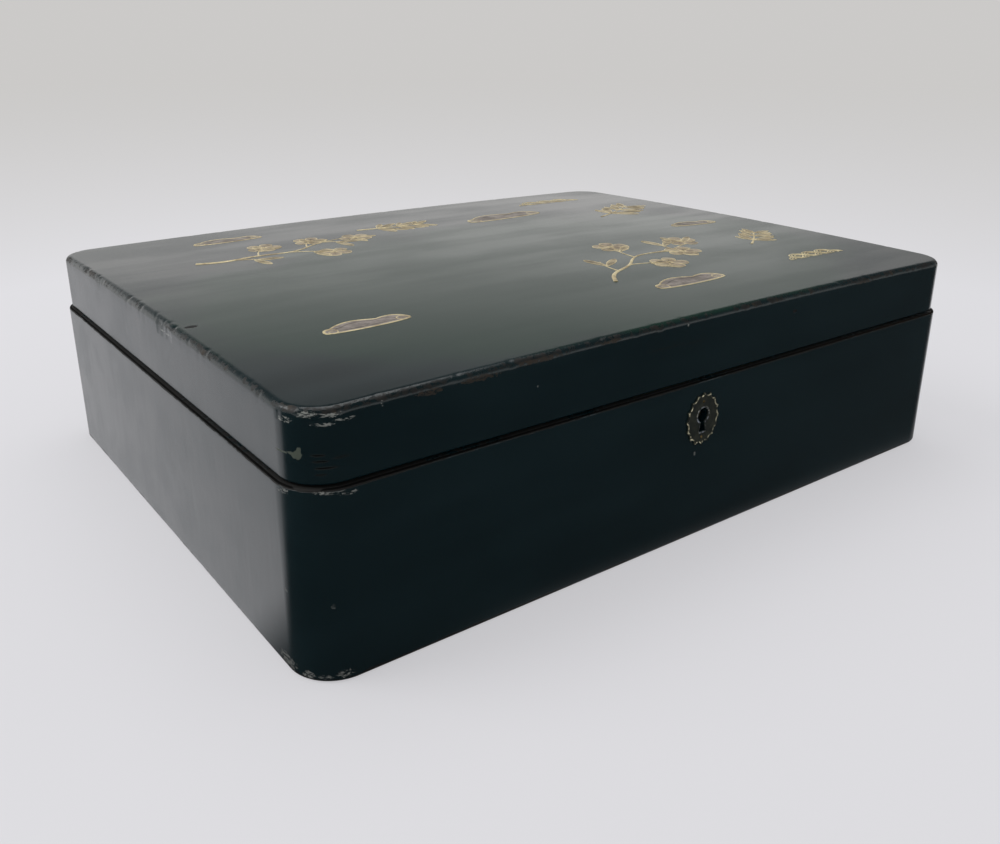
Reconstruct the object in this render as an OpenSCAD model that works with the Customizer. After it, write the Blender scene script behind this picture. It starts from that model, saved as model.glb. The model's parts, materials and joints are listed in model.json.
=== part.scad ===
// Lacquered deed box with a rounded, crowned lid, two stopped butt hinges and a box lock.
// X runs along the front, Y from front to back, Z up. The origin is the middle of the underside.

/* [Base] */
// Width of the base along the front
box_w = 300; // [240:1:340]
// Depth of the base from front to back
box_d = 233; // [180:1:280]
// Height of the base up to its rim
base_h = 59; // [52:0.5:80]
// Outer radius of the base's upright corners
corner_r = 14.4; // [13:0.1:22]
// Thickness of the wall boards
board_t = 9; // [8.5:0.5:10]
// Thickness of the bottom board
bottom_t = 5; // [3:0.5:8]
// Depth of the rabbet in the walls that holds the bottom board
rabbet_d = 4; // [2:0.5:5]
// Gap round a piece that is let into wood
let_in_gap = 0.1; // [0.05:0.05:0.2]
// Rounding of the base's outer foot edge
foot_round = 1.2; // [0.5:0.1:2]
// Rounding of the outer edges where base and lid meet
rim_round = 0.8; // [0.3:0.1:1.2]
// Rounding of the inner edges of both rims
inner_round = 0.5; // [0.2:0.1:1]

/* [Lid] */
// Gap between the two rims when the lid is shut
seam_gap = 0.5; // [0.3:0.1:1]
// How far the lid stands back from the base on every side
reveal = 1.3; // [0.5:0.1:2]
// Height of the lid's wall boards
lid_wall_h = 16.9; // [12:0.1:30]
// Thickness of the lid's top board at its corners
top_t = 4; // [3:0.1:8]
// Rise of the top board from its sides to the middle of its width
crown_w = 1.4; // [0.2:0.1:4]
// Rise of the top board from its front to the middle of its depth
crown_d = 1.4; // [0.2:0.1:4]
// Radius of the rounding round the top board
top_round = 2.4; // [1:0.1:2.8]

/* [Hinges] */
// Distance from the base's side to the middle of each hinge
hinge_inset = 62; // [40:1:90]
// Length of a hinge along its pin
hinge_l = 32; // [24:1:44]
// Number of knuckles that the two leaves share
knuckles = 5; // [3:2:7]
// Radius of the hinge's barrel
barrel_r = 2; // [1.8:0.1:3]
// Radius of the hinge pin
hinge_pin_r = 1; // [0.7:0.1:1.2]
// Play between the pin and the knuckles' bores
pin_play = 0.05; // [0.02:0.01:0.08]
// Gap between neighbouring knuckles, and round them
knuckle_gap = 0.2; // [0.1:0.05:0.4]
// Gap between the box's back and the barrel
barrel_gap = 0.3; // [0.1:0.1:1]
// Thickness of a leaf, which is let into the rim
leaf_t = 1.2; // [1:0.1:1.6]
// How far a leaf reaches in from the base's back face
leaf_w = 7; // [6:0.5:8]
// Reach of the stop lips from the pin's middle
stop_reach = 3.6; // [3:0.1:5]
// Angle of lid travel at which the stop lips meet
stop_angle = 100; // [90:1:110]

/* [Lock] */
// Middle of the lock along the front, from the box's middle
lock_x = -1.3; // [-20:0.1:20]
// Drop from the rim to the keyhole's round part
key_drop = 12.5; // [12:0.1:14]
// Radius of the keyhole's round part
key_r = 2.55; // [2:0.05:2.6]
// Width of the keyhole's neck
key_neck_w = 2; // [1.4:0.1:2.6]
// Width of the keyhole at its foot
key_foot_w = 3.4; // [2.6:0.1:4]
// Length of the keyhole from its round middle to its foot
key_leg = 6; // [5:0.1:7]
// Width of the lock plate's flange on each side of the case
flange_w = 5; // [4.5:0.1:8]
// Height of the lock plate
plate_h = 24; // [23:0.5:28]
// Thickness of the lock plate
plate_t = 1.2; // [1:0.1:1.4]
// Width of the lock's edge plate, from the inner face outwards
edge_plate_w = 6.4; // [6:0.1:7]
// Thickness of the lock's edge plate
edge_plate_t = 1.4; // [1:0.1:1.6]
// Width of the lock's case
case_w = 52; // [52:0.5:60]
// Depth of the lock's case behind its plate
case_d = 4.8; // [4.6:0.1:5]
// Thickness of the case's sheet
sheet_t = 0.6; // [0.4:0.1:0.8]
// Travel of the bolt
bolt_travel = 4.5; // [3.5:0.1:5]
// Thickness of the bolt
bolt_t = 1.4; // [1.2:0.1:1.6]
// Height of the bolt's bar
bar_h = 4; // [3.6:0.1:4]
// Height of the bolt's two noses
nose_h = 1.8; // [1.4:0.1:1.9]
// Width of the post that carries a nose
post_w = 2.75; // [2:0.05:3]
// Width of the notch that the key's bit moves the bolt by
talon_w = 6.4; // [5:0.1:7]
// Distance from the lock's middle to the left stud
stud_left = 10; // [9.5:0.1:10.5]
// Distance from the lock's middle to the right stud
stud_right = 17; // [16.5:0.1:17.5]
// Metal left past the slot for the right stud
bolt_end = 3.5; // [2.5:0.1:5]
// Radius of the studs that guide the bolt
stud_r = 1; // [0.8:0.1:1.1]
// Width of the shoulder round a stud's foot
stud_shoulder = 0.7; // [0.4:0.1:1]
// How much longer a nose is than the bolt's travel
nose_spare = 0.7; // [0.4:0.1:0.8]
// Play between the bolt and what guides it
bolt_play = 0.1; // [0.05:0.05:0.2]
// Radius that the key's bit sweeps
bit_r = 5.8; // [5:0.1:6]
// Gap between the swept key bit and the top of the bolt's notch
bit_gap = 0.3; // [0.1:0.1:0.4]
// Drop from the rim to the lock's upper screws
lock_screw_drop = 5; // [4:0.1:8]
// Height of the lock's lower screws above the foot of its plate
lock_screw_rise = 4; // [3:0.1:8]
// Thickness of the lock's leaf spring
spring_t = 0.5; // [0.3:0.1:0.7]
// Width of the lock's leaf spring
spring_w = 3; // [2:0.1:3.4]
// Slope of the spring's free leg
spring_slope = 62; // [50:1:75]

/* [Link plate] */
// Distance from the lock's middle to each eye
eye_x = 14; // [13.5:0.1:15]
// Length of an eye below the lid's rim
eye_l = 5.6; // [5:0.1:5.7]
// Width of an eye across the wall
eye_w = 3.6; // [3:0.1:3.8]
// Thickness of an eye
eye_t = 1.5; // [1:0.1:1.8]
// Metal left below the slot of an eye
eye_foot = 0.8; // [0.6:0.1:1]
// Width of the slot in an eye that takes the bolt's nose
eye_slot_w = 2; // [1.8:0.1:2.2]
// Height of that slot
eye_slot_h = 2.3; // [2.2:0.1:2.5]
// Gap from an eye to the edge plate's slot, and to the bolt
eye_gap = 0.5; // [0.3:0.1:0.6]
// Length of the link plate
link_l = 56; // [52:1:70]
// Width of the link plate
link_w = 5.4; // [5:0.1:6]
// Distance from an end of the link plate to its outer screw
link_screw_inset = 6; // [4:0.1:8]
// Thickness of the link plate
link_t = 1.2; // [1:0.1:1.6]

/* [Escutcheon] */
// Width of the escutcheon over its points
esc_w = 16; // [12:0.1:20]
// Height of the escutcheon over its points
esc_h = 19.2; // [15:0.1:24]
// Drop of the escutcheon's middle below the keyhole's round middle
esc_drop = 1.4; // [0:0.1:3]
// Number of points round the escutcheon
esc_points = 16; // [10:1:24]
// Depth of the scallops between the points, as a share of the radius
esc_scallop = 0.1; // [0.04:0.01:0.2]
// Thickness of the escutcheon's sheet
esc_t = 0.4; // [0.3:0.1:0.6]
// Height of the escutcheon's raised border and lip
esc_raise = 0.3; // [0.1:0.1:0.5]
// Width of the raised border, and of the lip round the keyhole
esc_border = 0.9; // [0.5:0.1:1.4]

/* [Screws and pins] */
// Radius of the screws' shanks
screw_r = 0.9; // [0.7:0.05:1]
// Radius of the screws' countersunk heads
screw_head_r = 1.8; // [1.5:0.1:2]
// Depth of the screws' countersunk heads
screw_head_h = 0.9; // [0.7:0.1:1]
// Length of the hinges' and link plate's screws
rim_screw_l = 9; // [7:0.5:12]
// Length of the lock's screws
lock_screw_l = 6; // [4:0.5:7]
// Width and depth of the slot across a screw's head
slot_w = 0.5; // [0.3:0.1:0.6]
// Radius of the escutcheon pins' heads
pin_head_r = 0.6; // [0.5:0.05:0.8]
// Radius of the escutcheon pins' shanks
pin_shank_r = 0.35; // [0.25:0.05:0.4]
// Length of the escutcheon pins' shanks
pin_shank_l = 2.6; // [2:0.1:2.8]

/* [Hidden] */
$fn = 48;
lacquer = "#12201f";
worn_lacquer = "#171512";
brass = "#8f7d46";
steel = "#8c8f90";
// How far a cut runs past the face that it opens
over = 1;
// Faces round each corner, along each side and across the lid's top board
arc_steps = 6;
long_steps = 10;
short_steps = 8;
round_steps = 5;
crown_steps = 7;

front_y = -box_d / 2;
back_y = box_d / 2;
front_in_y = front_y + board_t;
lid_z = base_h + seam_gap;
lid_top_z = lid_z + lid_wall_h;
crown_z = lid_top_z + top_t;
lid_r = corner_r - reveal;
lid_half_w = box_w / 2 - reveal;
lid_half_d = box_d / 2 - reveal;

hinge_x = box_w / 2 - hinge_inset;
axis_back = barrel_gap + barrel_r;
axis_y = back_y + axis_back;
axis_z = base_h + seam_gap / 2;
stop_half = stop_angle / 2;
knuckle_l = (hinge_l - (knuckles - 1) * knuckle_gap) / knuckles;
knuckle_pitch = knuckle_l + knuckle_gap;
hinge_screw_pitch = hinge_l / 3;
pin_head_l = 0.5;

plate_w = case_w + 2 * flange_w;
case_back_y = -(plate_t + case_d);
mech_y = -(plate_t + (case_d - sheet_t) / 2);
case_floor_z = -(plate_h - edge_plate_t);
bar_top_z = seam_gap - eye_l - eye_gap;
bar_z = bar_top_z - bar_h;
eye_slot_z = seam_gap - eye_l + eye_foot;
nose_z = eye_slot_z + (eye_slot_h - nose_h) / 2;
stud_z = bar_top_z - bar_h / 2;
stud_shoulder_r = stud_r + stud_shoulder;
nose_l = bolt_travel + nose_spare;
talon_z = -key_drop + bit_r + bit_gap;
key_tip_r = key_r / 2;
link_screw_x = link_l / 2 - link_screw_inset;
lock_screw_x = (case_w + flange_w) / 2;

// What an outline loses when its corner at the origin is rounded off
module arris(r) {
  difference() {
    translate([-over, -over]) square(r + over);
    translate([r, r]) circle(r);
  }
}

// Section through a wall board: X runs inwards from the outer face, Y upwards
module wall_section(h, outer_foot, outer_head, inner_foot, inner_head) {
  difference() {
    square([board_t, h]);
    if (outer_foot > 0) arris(outer_foot);
    if (outer_head > 0) translate([0, h]) mirror([0, 1]) arris(outer_head);
    if (inner_foot > 0) translate([board_t, 0]) mirror([1, 0]) arris(inner_foot);
    if (inner_head > 0) translate([board_t, h]) rotate(180) arris(inner_head);
  }
}

module base_section() {
  difference() {
    wall_section(base_h, foot_round, rim_round, 0, inner_round);
    translate([board_t - rabbet_d, -over]) square([rabbet_d + over, bottom_t + over]);
  }
}

module lid_section() {
  wall_section(lid_wall_h, rim_round, 0, inner_round, 0);
}

// A section swept along X over a length, centred
module run_along_x(l) {
  translate([-l / 2, 0, 0]) rotate([90, 0, 90]) linear_extrude(l) children();
}

// A wall board with its outer face at -Y, bent round at each end to the mitre
module mitred_board(l, half, r) {
  run = l - 2 * r;
  translate([0, -half, 0]) run_along_x(run) children();
  for (end = [0, 1])
    mirror([end, 0, 0]) translate([run / 2, r - half, 0])
      rotate(-90) rotate_extrude(angle = 45) translate([r, 0]) mirror([1, 0]) children();
}

module base_board(l, half) {
  mitred_board(l, half, corner_r) base_section();
}

module lid_board(l, half) {
  translate([0, 0, lid_z]) mitred_board(l, half, lid_r) lid_section();
}

// Countersunk wood screw with its head's face at Z 0, pointing down
module screw(l) {
  tip_l = 2 * screw_r;
  difference() {
    union() {
      translate([0, 0, -screw_head_h]) cylinder(h = screw_head_h, r1 = screw_r, r2 = screw_head_r);
      translate([0, 0, tip_l - l]) cylinder(h = l - tip_l - screw_head_h, r = screw_r);
      translate([0, 0, -l]) cylinder(h = tip_l, r1 = screw_r / 4, r2 = screw_r);
    }
    translate([-slot_w / 2, -screw_head_r, -slot_w]) cube([slot_w, 2 * screw_head_r, slot_w + over]);
  }
}

// The hole that a screw needs, in metal and in wood
module screw_hole(l) {
  r = screw_r + pin_play;
  translate([0, 0, -screw_head_h])
    cylinder(h = screw_head_h, r1 = r, r2 = screw_head_r + pin_play);
  translate([0, 0, -l - pin_play]) cylinder(h = l, r = r);
  cylinder(h = over, r = screw_head_r + pin_play);
}

// Base

module base_front() {
  color(lacquer) difference() {
    base_board(box_w, box_d / 2);
    lock_frame() lock_recess();
    lock_frame() lock_screw_places() screw_hole(lock_screw_l);
    key_frame() keyhole_cut();
    key_frame() pin_places() cylinder(h = pin_shank_l + pin_play, r = pin_shank_r + pin_play);
  }
}

module base_back() {
  color(lacquer) difference() {
    rotate(180) base_board(box_w, box_d / 2);
    for (side = [-1, 1]) hinge_frame(side) {
      leaf_mortise(-seam_gap / 2 - leaf_t);
      base_leaf_screw_places() screw_hole(rim_screw_l);
    }
  }
}

module base_left() {
  color(lacquer) rotate(-90) base_board(box_d, box_w / 2);
}

module base_right() {
  color(lacquer) rotate(90) base_board(box_d, box_w / 2);
}

module base_bottom() {
  inset = board_t - rabbet_d + let_in_gap;
  r = corner_r - inset;
  color(worn_lacquer) linear_extrude(bottom_t) rounded_plan(box_w / 2 - inset, box_d / 2 - inset, r);
}

module rounded_plan(half_w, half_d, r) {
  square([2 * half_w, 2 * (half_d - r)], center = true);
  square([2 * (half_w - r), 2 * half_d], center = true);
  for (x = [-1, 1], y = [-1, 1]) translate([x * (half_w - r), y * (half_d - r)]) circle(r);
}

// Lid

module lid_front() {
  color(lacquer) difference() {
    lid_board(2 * lid_half_w, lid_half_d);
    lock_frame() link_mortise();
    lock_frame() link_screw_places() screw_hole(rim_screw_l);
  }
}

module lid_back() {
  color(lacquer) difference() {
    rotate(180) lid_board(2 * lid_half_w, lid_half_d);
    for (side = [-1, 1]) hinge_frame(side) {
      leaf_mortise(seam_gap / 2 - over);
      lid_leaf_screw_places() screw_hole(rim_screw_l);
    }
  }
}

module lid_left() {
  color(lacquer) rotate(-90) lid_board(2 * lid_half_d, lid_half_w);
}

module lid_right() {
  color(lacquer) rotate(90) lid_board(2 * lid_half_d, lid_half_w);
}

// Height of the crowned top at a point of the plan
function crown(p) =
  crown_z + crown_w * (1 - pow(p[0] / lid_half_w, 2)) + crown_d * (1 - pow(p[1] / lid_half_d, 2));

// A station on the lid's outline: where its corner arc is centred, and its outward direction
function station(c, a) = [c, [cos(a), sin(a)]];
function corner_centre(q) =
  [(q == 0 || q == 3 ? 1 : -1) * (lid_half_w - lid_r), (q < 2 ? 1 : -1) * (lid_half_d - lid_r)];
function corner_stations(q) =
  [for (i = [0 : arc_steps]) station(corner_centre(q), 90 * (q + i / arc_steps))];
function side_stations(q, n) =
  [for (i = [1 : n - 1])
    station(corner_centre(q) * (1 - i / n) + corner_centre((q + 1) % 4) * i / n, 90 * (q + 1))];
stations = [
  for (q = [0 : 3]) each concat(
    corner_stations(q), side_stations(q, q % 2 == 0 ? long_steps : short_steps))
];
stations_n = len(stations);

function plan_ring(inset, share = 1) = [for (s = stations) (s[0] + (lid_r - inset) * s[1]) * share];
function at_height(ring, drop) = [for (p = ring) [p[0], p[1], crown(p) - drop]];

// One ring of triangles between ring k and the ring above it
function band(k) = [
  for (i = [0 : stations_n - 1])
    let (j = (i + 1) % stations_n, a = k * stations_n, b = a + stations_n)
      each [[a + i, b + j, a + j], [a + i, b + i, b + j]]
];

module lid_top() {
  foot = [for (p = plan_ring(0)) [p[0], p[1], lid_top_z]];
  edge = [
    for (k = [0 : round_steps]) let (a = 90 * k / round_steps)
      at_height(plan_ring(top_round * (1 - cos(a))), top_round * (1 - sin(a)))
  ];
  top = [for (k = [1 : crown_steps - 1]) at_height(plan_ring(top_round, 1 - k / crown_steps), 0)];
  rings = concat([foot], edge, top);
  last = (len(rings) - 1) * stations_n;
  peak = len(rings) * stations_n;
  color(lacquer) polyhedron(
    points = concat([for (r = rings) each r], [[0, 0, crown([0, 0])], [0, 0, lid_top_z]]),
    faces = concat(
      [for (i = [0 : stations_n - 1]) [i, (i + 1) % stations_n, peak + 1]],
      [for (k = [0 : len(rings) - 2]) each band(k)],
      [for (i = [0 : stations_n - 1]) [last + i, peak, last + (i + 1) % stations_n]]
    )
  );
}

// Hinges. Each hinge's own frame has its origin on the pin, at the middle of the hinge.

module hinge_frame(side) {
  translate([side * hinge_x, axis_y, axis_z]) children();
}

module leaf_mortise(z) {
  l = hinge_l + 2 * let_in_gap;
  translate([-l / 2, -axis_back - leaf_w - let_in_gap, z])
    cube([l, leaf_w + let_in_gap + over, leaf_t + over]);
}

module hinge_screw_row(y) {
  for (i = [-1 : 1]) translate([i * hinge_screw_pitch, y, 0]) children();
}

module base_leaf_screw_places() {
  hinge_screw_row(-axis_back - leaf_w / 2) translate([0, 0, -seam_gap / 2]) children();
}

module lid_leaf_screw_places() {
  hinge_screw_row(-axis_back - (leaf_w + reveal) / 2)
    translate([0, 0, seam_gap / 2]) rotate([180, 0, 0]) children();
}

// Section of a base leaf with its stop lip: X runs backwards from the pin, Y upwards
module leaf_section(back) {
  lip_in = let_in_gap - back;
  half_gap = seam_gap / 2;
  far = 2 * stop_reach;
  translate([-axis_back - leaf_w, -half_gap - leaf_t]) square([axis_back + leaf_w, leaf_t]);
  intersection() {
    circle(stop_reach);
    polygon([
      [lip_in, -half_gap],
      [half_gap / tan(stop_half), -half_gap],
      [far * cos(stop_half), -far * sin(stop_half)],
      [lip_in, -far]
    ]);
  }
}

module knuckle_at(i, r, extra) {
  l = knuckle_l + 2 * extra;
  translate([-hinge_l / 2 + i * knuckle_pitch - extra, 0, 0]) rotate([0, 90, 0]) cylinder(h = l, r = r);
}

// A leaf with every second knuckle, starting at the given one, cleared for the others
module leaf(first, back) {
  difference() {
    union() {
      difference() {
        run_along_x(hinge_l) leaf_section(back);
        for (i = [1 - first : 2 : knuckles - 1]) knuckle_at(i, barrel_r + knuckle_gap, knuckle_gap);
      }
      for (i = [first : 2 : knuckles - 1]) knuckle_at(i, barrel_r, 0);
    }
    rotate([0, 90, 0]) cylinder(h = hinge_l + 2 * over, r = hinge_pin_r + pin_play, center = true);
  }
}

module base_leaf(side) {
  color(brass) hinge_frame(side) difference() {
    leaf(0, axis_back);
    base_leaf_screw_places() screw_hole(rim_screw_l);
  }
}

module lid_leaf(side) {
  color(brass) hinge_frame(side) difference() {
    mirror([0, 0, 1]) leaf(1, axis_back + reveal);
    lid_leaf_screw_places() screw_hole(rim_screw_l);
  }
}

// The pin, peened over at both ends
module hinge_pin(side) {
  color(brass) hinge_frame(side) rotate([0, 90, 0]) {
    cylinder(h = hinge_l + 2 * pin_head_l, r = hinge_pin_r, center = true);
    for (end = [0, 1]) mirror([0, 0, end])
      translate([0, 0, hinge_l / 2]) cylinder(h = pin_head_l, r = (hinge_pin_r + barrel_r) / 2);
  }
}

module hinge_left_base_leaf() { base_leaf(-1); }
module hinge_left_lid_leaf() { lid_leaf(-1); }
module hinge_left_pin() { hinge_pin(-1); }
module hinge_right_base_leaf() { base_leaf(1); }
module hinge_right_lid_leaf() { lid_leaf(1); }
module hinge_right_pin() { hinge_pin(1); }

module hinge_base_screws() {
  color(brass) for (side = [-1, 1]) hinge_frame(side) base_leaf_screw_places() screw(rim_screw_l);
}

module hinge_lid_screws() {
  color(brass) for (side = [-1, 1]) hinge_frame(side) lid_leaf_screw_places() screw(rim_screw_l);
}

// Lock. Its own frame has X along the front from the lock's middle, Y from the front board's
// inner face, with the wood at -Y, and Z from the base's rim.

module lock_frame() {
  translate([lock_x, front_in_y, base_h]) children();
}

module block(half_w, y, z) {
  translate([-half_w, y[0], z[0]]) cube([2 * half_w, y[1] - y[0], z[1] - z[0]]);
}

module lock_recess() {
  block(plate_w / 2 + let_in_gap, [-plate_t, over], [-plate_h - let_in_gap, over]);
  block(plate_w / 2 + let_in_gap, [-edge_plate_w - let_in_gap, over], [-edge_plate_t, over]);
  block(case_w / 2 + let_in_gap, [case_back_y - let_in_gap, over], [case_floor_z - let_in_gap, over]);
}

module lock_screw_places() {
  for (side = [-1, 1], z = [-lock_screw_drop, lock_screw_rise - plate_h])
    translate([side * lock_screw_x, 0, z]) rotate([-90, 0, 0]) children();
}

module stud_places() {
  for (x = [-stud_left, stud_right]) translate([x, 0, stud_z]) rotate([90, 0, 0]) children();
}

module eye_places() {
  for (side = [-1, 1]) translate([side * eye_x, 0, 0]) children();
}

module lock_plate() {
  bolt_face = -mech_y - plate_t - bolt_t / 2;
  color(brass) lock_frame() {
    difference() {
      union() {
        block(plate_w / 2, [-plate_t, 0], [-plate_h, 0]);
        block(plate_w / 2, [-edge_plate_w, 0], [-edge_plate_t, 0]);
      }
      eye_places() block(
        eye_t / 2 + eye_gap,
        [mech_y - eye_w / 2 - eye_gap, mech_y + eye_w / 2 + eye_gap],
        [-edge_plate_t - over, over]);
      translate([0, 0, -key_drop]) rotate([90, 0, 0])
        cylinder(h = 4 * plate_t, r = key_tip_r, center = true);
      lock_screw_places() screw_hole(lock_screw_l);
    }
    stud_places() {
      translate([0, 0, plate_t]) cylinder(h = bolt_face - bolt_play, r = stud_shoulder_r);
      translate([0, 0, plate_t]) cylinder(h = bolt_face + bolt_t + stud_r / 2, r = stud_r);
    }
  }
}

// A pan of thin sheet round the works, with the keyhole through its back
module lock_case() {
  inner = case_w / 2 - sheet_t;
  color(brass) difference() {
    lock_frame() difference() {
      block(case_w / 2, [case_back_y, -plate_t], [case_floor_z, -edge_plate_t]);
      block(inner, [case_back_y + sheet_t, over], [case_floor_z + sheet_t, over]);
    }
    key_frame() keyhole_cut();
  }
}

function nose_tip(side) = side * eye_x - eye_t / 2 - eye_gap;
function nose_root(side) = nose_tip(side) - nose_l;

module bolt_nose(side) {
  r = nose_h / 2;
  translate([nose_root(side) - over, nose_z]) square([nose_l - r + over, nose_h]);
  translate([nose_tip(side) - r, nose_z + r]) circle(r);
}

module bolt_slot(x) {
  r = stud_r + bolt_play;
  translate([x - bolt_travel, stud_z - r]) square([bolt_travel, 2 * r]);
  for (dx = [0, bolt_travel]) translate([x - dx, stud_z]) circle(r);
}

// The bolt at rest, drawn back: X along the front, Y upwards from the rim
module bolt_outline() {
  left = nose_root(-1) - post_w;
  top = nose_z + nose_h;
  difference() {
    union() {
      translate([left, bar_z]) square([stud_right + bolt_end - left, bar_h]);
      translate([left, bar_z]) square([post_w, top - bar_z]);
      translate([-nose_root(1), bar_z]) square([2 * nose_root(1), top - bar_z]);
      for (side = [-1, 1]) bolt_nose(side);
    }
    translate([-(bolt_travel + talon_w) / 2, bar_z - over]) square([talon_w, talon_z - bar_z + over]);
    bolt_slot(-stud_left);
    bolt_slot(stud_right);
  }
}

module lock_bolt() {
  color(steel) lock_frame() translate([0, mech_y + bolt_t / 2, 0])
    rotate([90, 0, 0]) linear_extrude(bolt_t) bolt_outline();
}

// A strip bent back on itself: one leg on the case's floor, the other up under the bolt's bar
module spring_outline() {
  bend_r = 1.5;
  mid_r = bend_r - spring_t / 2;
  tip_r = spring_t * 1.2;
  foot_l = 9;
  bend_end = 90 - spring_slope;
  x = -stud_left - 2;
  z = case_floor_z + sheet_t + bend_r;
  leg_l = (bar_z - bolt_play - tip_r - z - mid_r * sin(bend_end)) / sin(spring_slope);
  translate([x - foot_l, z - bend_r]) square([foot_l, spring_t]);
  translate([x, z]) {
    intersection() {
      difference() {
        circle(bend_r);
        circle(bend_r - spring_t);
      }
      polygon(concat([[0, 0]], [for (a = [-95, -30, bend_end + 5]) 3 * bend_r * [cos(a), sin(a)]]));
    }
    translate(mid_r * [cos(bend_end), sin(bend_end)]) rotate(180 - spring_slope) {
      translate([0, -spring_t / 2]) square([leg_l, spring_t]);
      translate([leg_l, 0]) circle(tip_r);
    }
  }
}

module lock_spring() {
  color(steel) lock_frame() translate([0, mech_y + spring_w / 2, 0])
    rotate([90, 0, 0]) linear_extrude(spring_w) spring_outline();
}

module lock_screws() {
  color(steel) lock_frame() lock_screw_places() screw(lock_screw_l);
}

// Link plate, let into the lid's rim, with the two eyes that the bolt's noses enter

module link_mortise() {
  half_w = link_w / 2 + let_in_gap;
  block(
    link_l / 2 + let_in_gap,
    [mech_y - half_w, mech_y + half_w],
    [seam_gap - over, seam_gap + link_t]);
}

module link_screw_places() {
  for (x = [-link_screw_x, 0, link_screw_x])
    translate([x, mech_y, seam_gap]) rotate([180, 0, 0]) children();
}

// An eye seen from the side: X across the wall, Y upwards from the base's rim
module eye_outline() {
  difference() {
    translate([-eye_w / 2, seam_gap - eye_l]) difference() {
      square([eye_w, eye_l]);
      arris(eye_foot);
      translate([eye_w, 0]) mirror([1, 0]) arris(eye_foot);
    }
    translate([-eye_slot_w / 2, eye_slot_z]) square([eye_slot_w, eye_slot_h]);
  }
}

module link_plate() {
  color(brass) lock_frame() {
    difference() {
      block(link_l / 2, [mech_y - link_w / 2, mech_y + link_w / 2], [seam_gap, seam_gap + link_t]);
      link_screw_places() screw_hole(rim_screw_l);
    }
    eye_places() translate([0, mech_y, 0]) run_along_x(eye_t) eye_outline();
  }
}

module link_screws() {
  color(brass) lock_frame() link_screw_places() screw(rim_screw_l);
}

// Escutcheon. The key's frame has its origin on the front at the keyhole's round middle,
// X along the front, Y upwards and Z out of the front.

module key_frame() {
  translate([lock_x, front_y, base_h - key_drop]) rotate([90, 0, 0]) children();
}

module keyhole_outline(grow) {
  neck = key_neck_w / 2 + grow;
  foot = key_foot_w / 2 + grow;
  waist = -key_leg / 2;
  circle(key_r + grow);
  polygon([
    [-neck, 0], [neck, 0], [neck, waist], [foot, -key_leg - grow], [-foot, -key_leg - grow],
    [-neck, waist]
  ]);
}

module keyhole_cut() {
  translate([0, 0, -board_t]) linear_extrude(2 * board_t) keyhole_outline(0);
}

function esc_oval(half_w, half_h, scallop) = [
  for (i = [0 : 4 * esc_points - 1])
    let (a = 90 * i / esc_points, f = 1 - scallop * abs(sin(esc_points * a / 2)))
      [half_w * f * sin(a), half_h * f * cos(a) - esc_drop]
];
field_w = esc_w / 2 * (1 - esc_scallop) - esc_border;
field_h = esc_h / 2 * (1 - esc_scallop) - esc_border;

module pin_places() {
  high = (key_r + esc_border + field_h - esc_drop) / 2;
  low = -(key_leg + esc_border + field_h + esc_drop) / 2;
  for (y = [high, low]) translate([0, y, -pin_shank_l]) children();
}

module escutcheon() {
  color(brass) key_frame() difference() {
    union() {
      linear_extrude(esc_t) polygon(esc_oval(esc_w / 2, esc_h / 2, esc_scallop));
      linear_extrude(esc_t + esc_raise) {
        difference() {
          polygon(esc_oval(esc_w / 2, esc_h / 2, esc_scallop));
          polygon(esc_oval(field_w, field_h, 0));
        }
        keyhole_outline(esc_border);
      }
    }
    keyhole_cut();
    pin_places() cylinder(h = pin_shank_l + 2 * esc_t, r = pin_shank_r + pin_play);
  }
}

module escutcheon_pins() {
  head_h = pin_head_r / 2;
  dome_r = (pin_head_r * pin_head_r + head_h * head_h) / (2 * head_h);
  color(brass) key_frame() pin_places() {
    cylinder(h = pin_shank_l + esc_t, r = pin_shank_r);
    translate([0, 0, pin_shank_l + esc_t]) intersection() {
      translate([0, 0, head_h - dome_r]) sphere(dome_r);
      cylinder(h = head_h, r = pin_head_r);
    }
  }
}

base_front();
base_back();
base_left();
base_right();
base_bottom();
lid_front();
lid_back();
lid_left();
lid_right();
lid_top();
hinge_left_base_leaf();
hinge_left_lid_leaf();
hinge_left_pin();
hinge_right_base_leaf();
hinge_right_lid_leaf();
hinge_right_pin();
hinge_base_screws();
hinge_lid_screws();
lock_plate();
lock_case();
lock_bolt();
lock_spring();
lock_screws();
link_plate();
link_screws();
escutcheon();
escutcheon_pins();
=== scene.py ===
# Lacquered deed box: crowned lid with gold relief, worn edges, brass hinges, box lock and escutcheon.
# Sizes are in metres. X runs along the front, Y from front to back, Z up.

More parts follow.
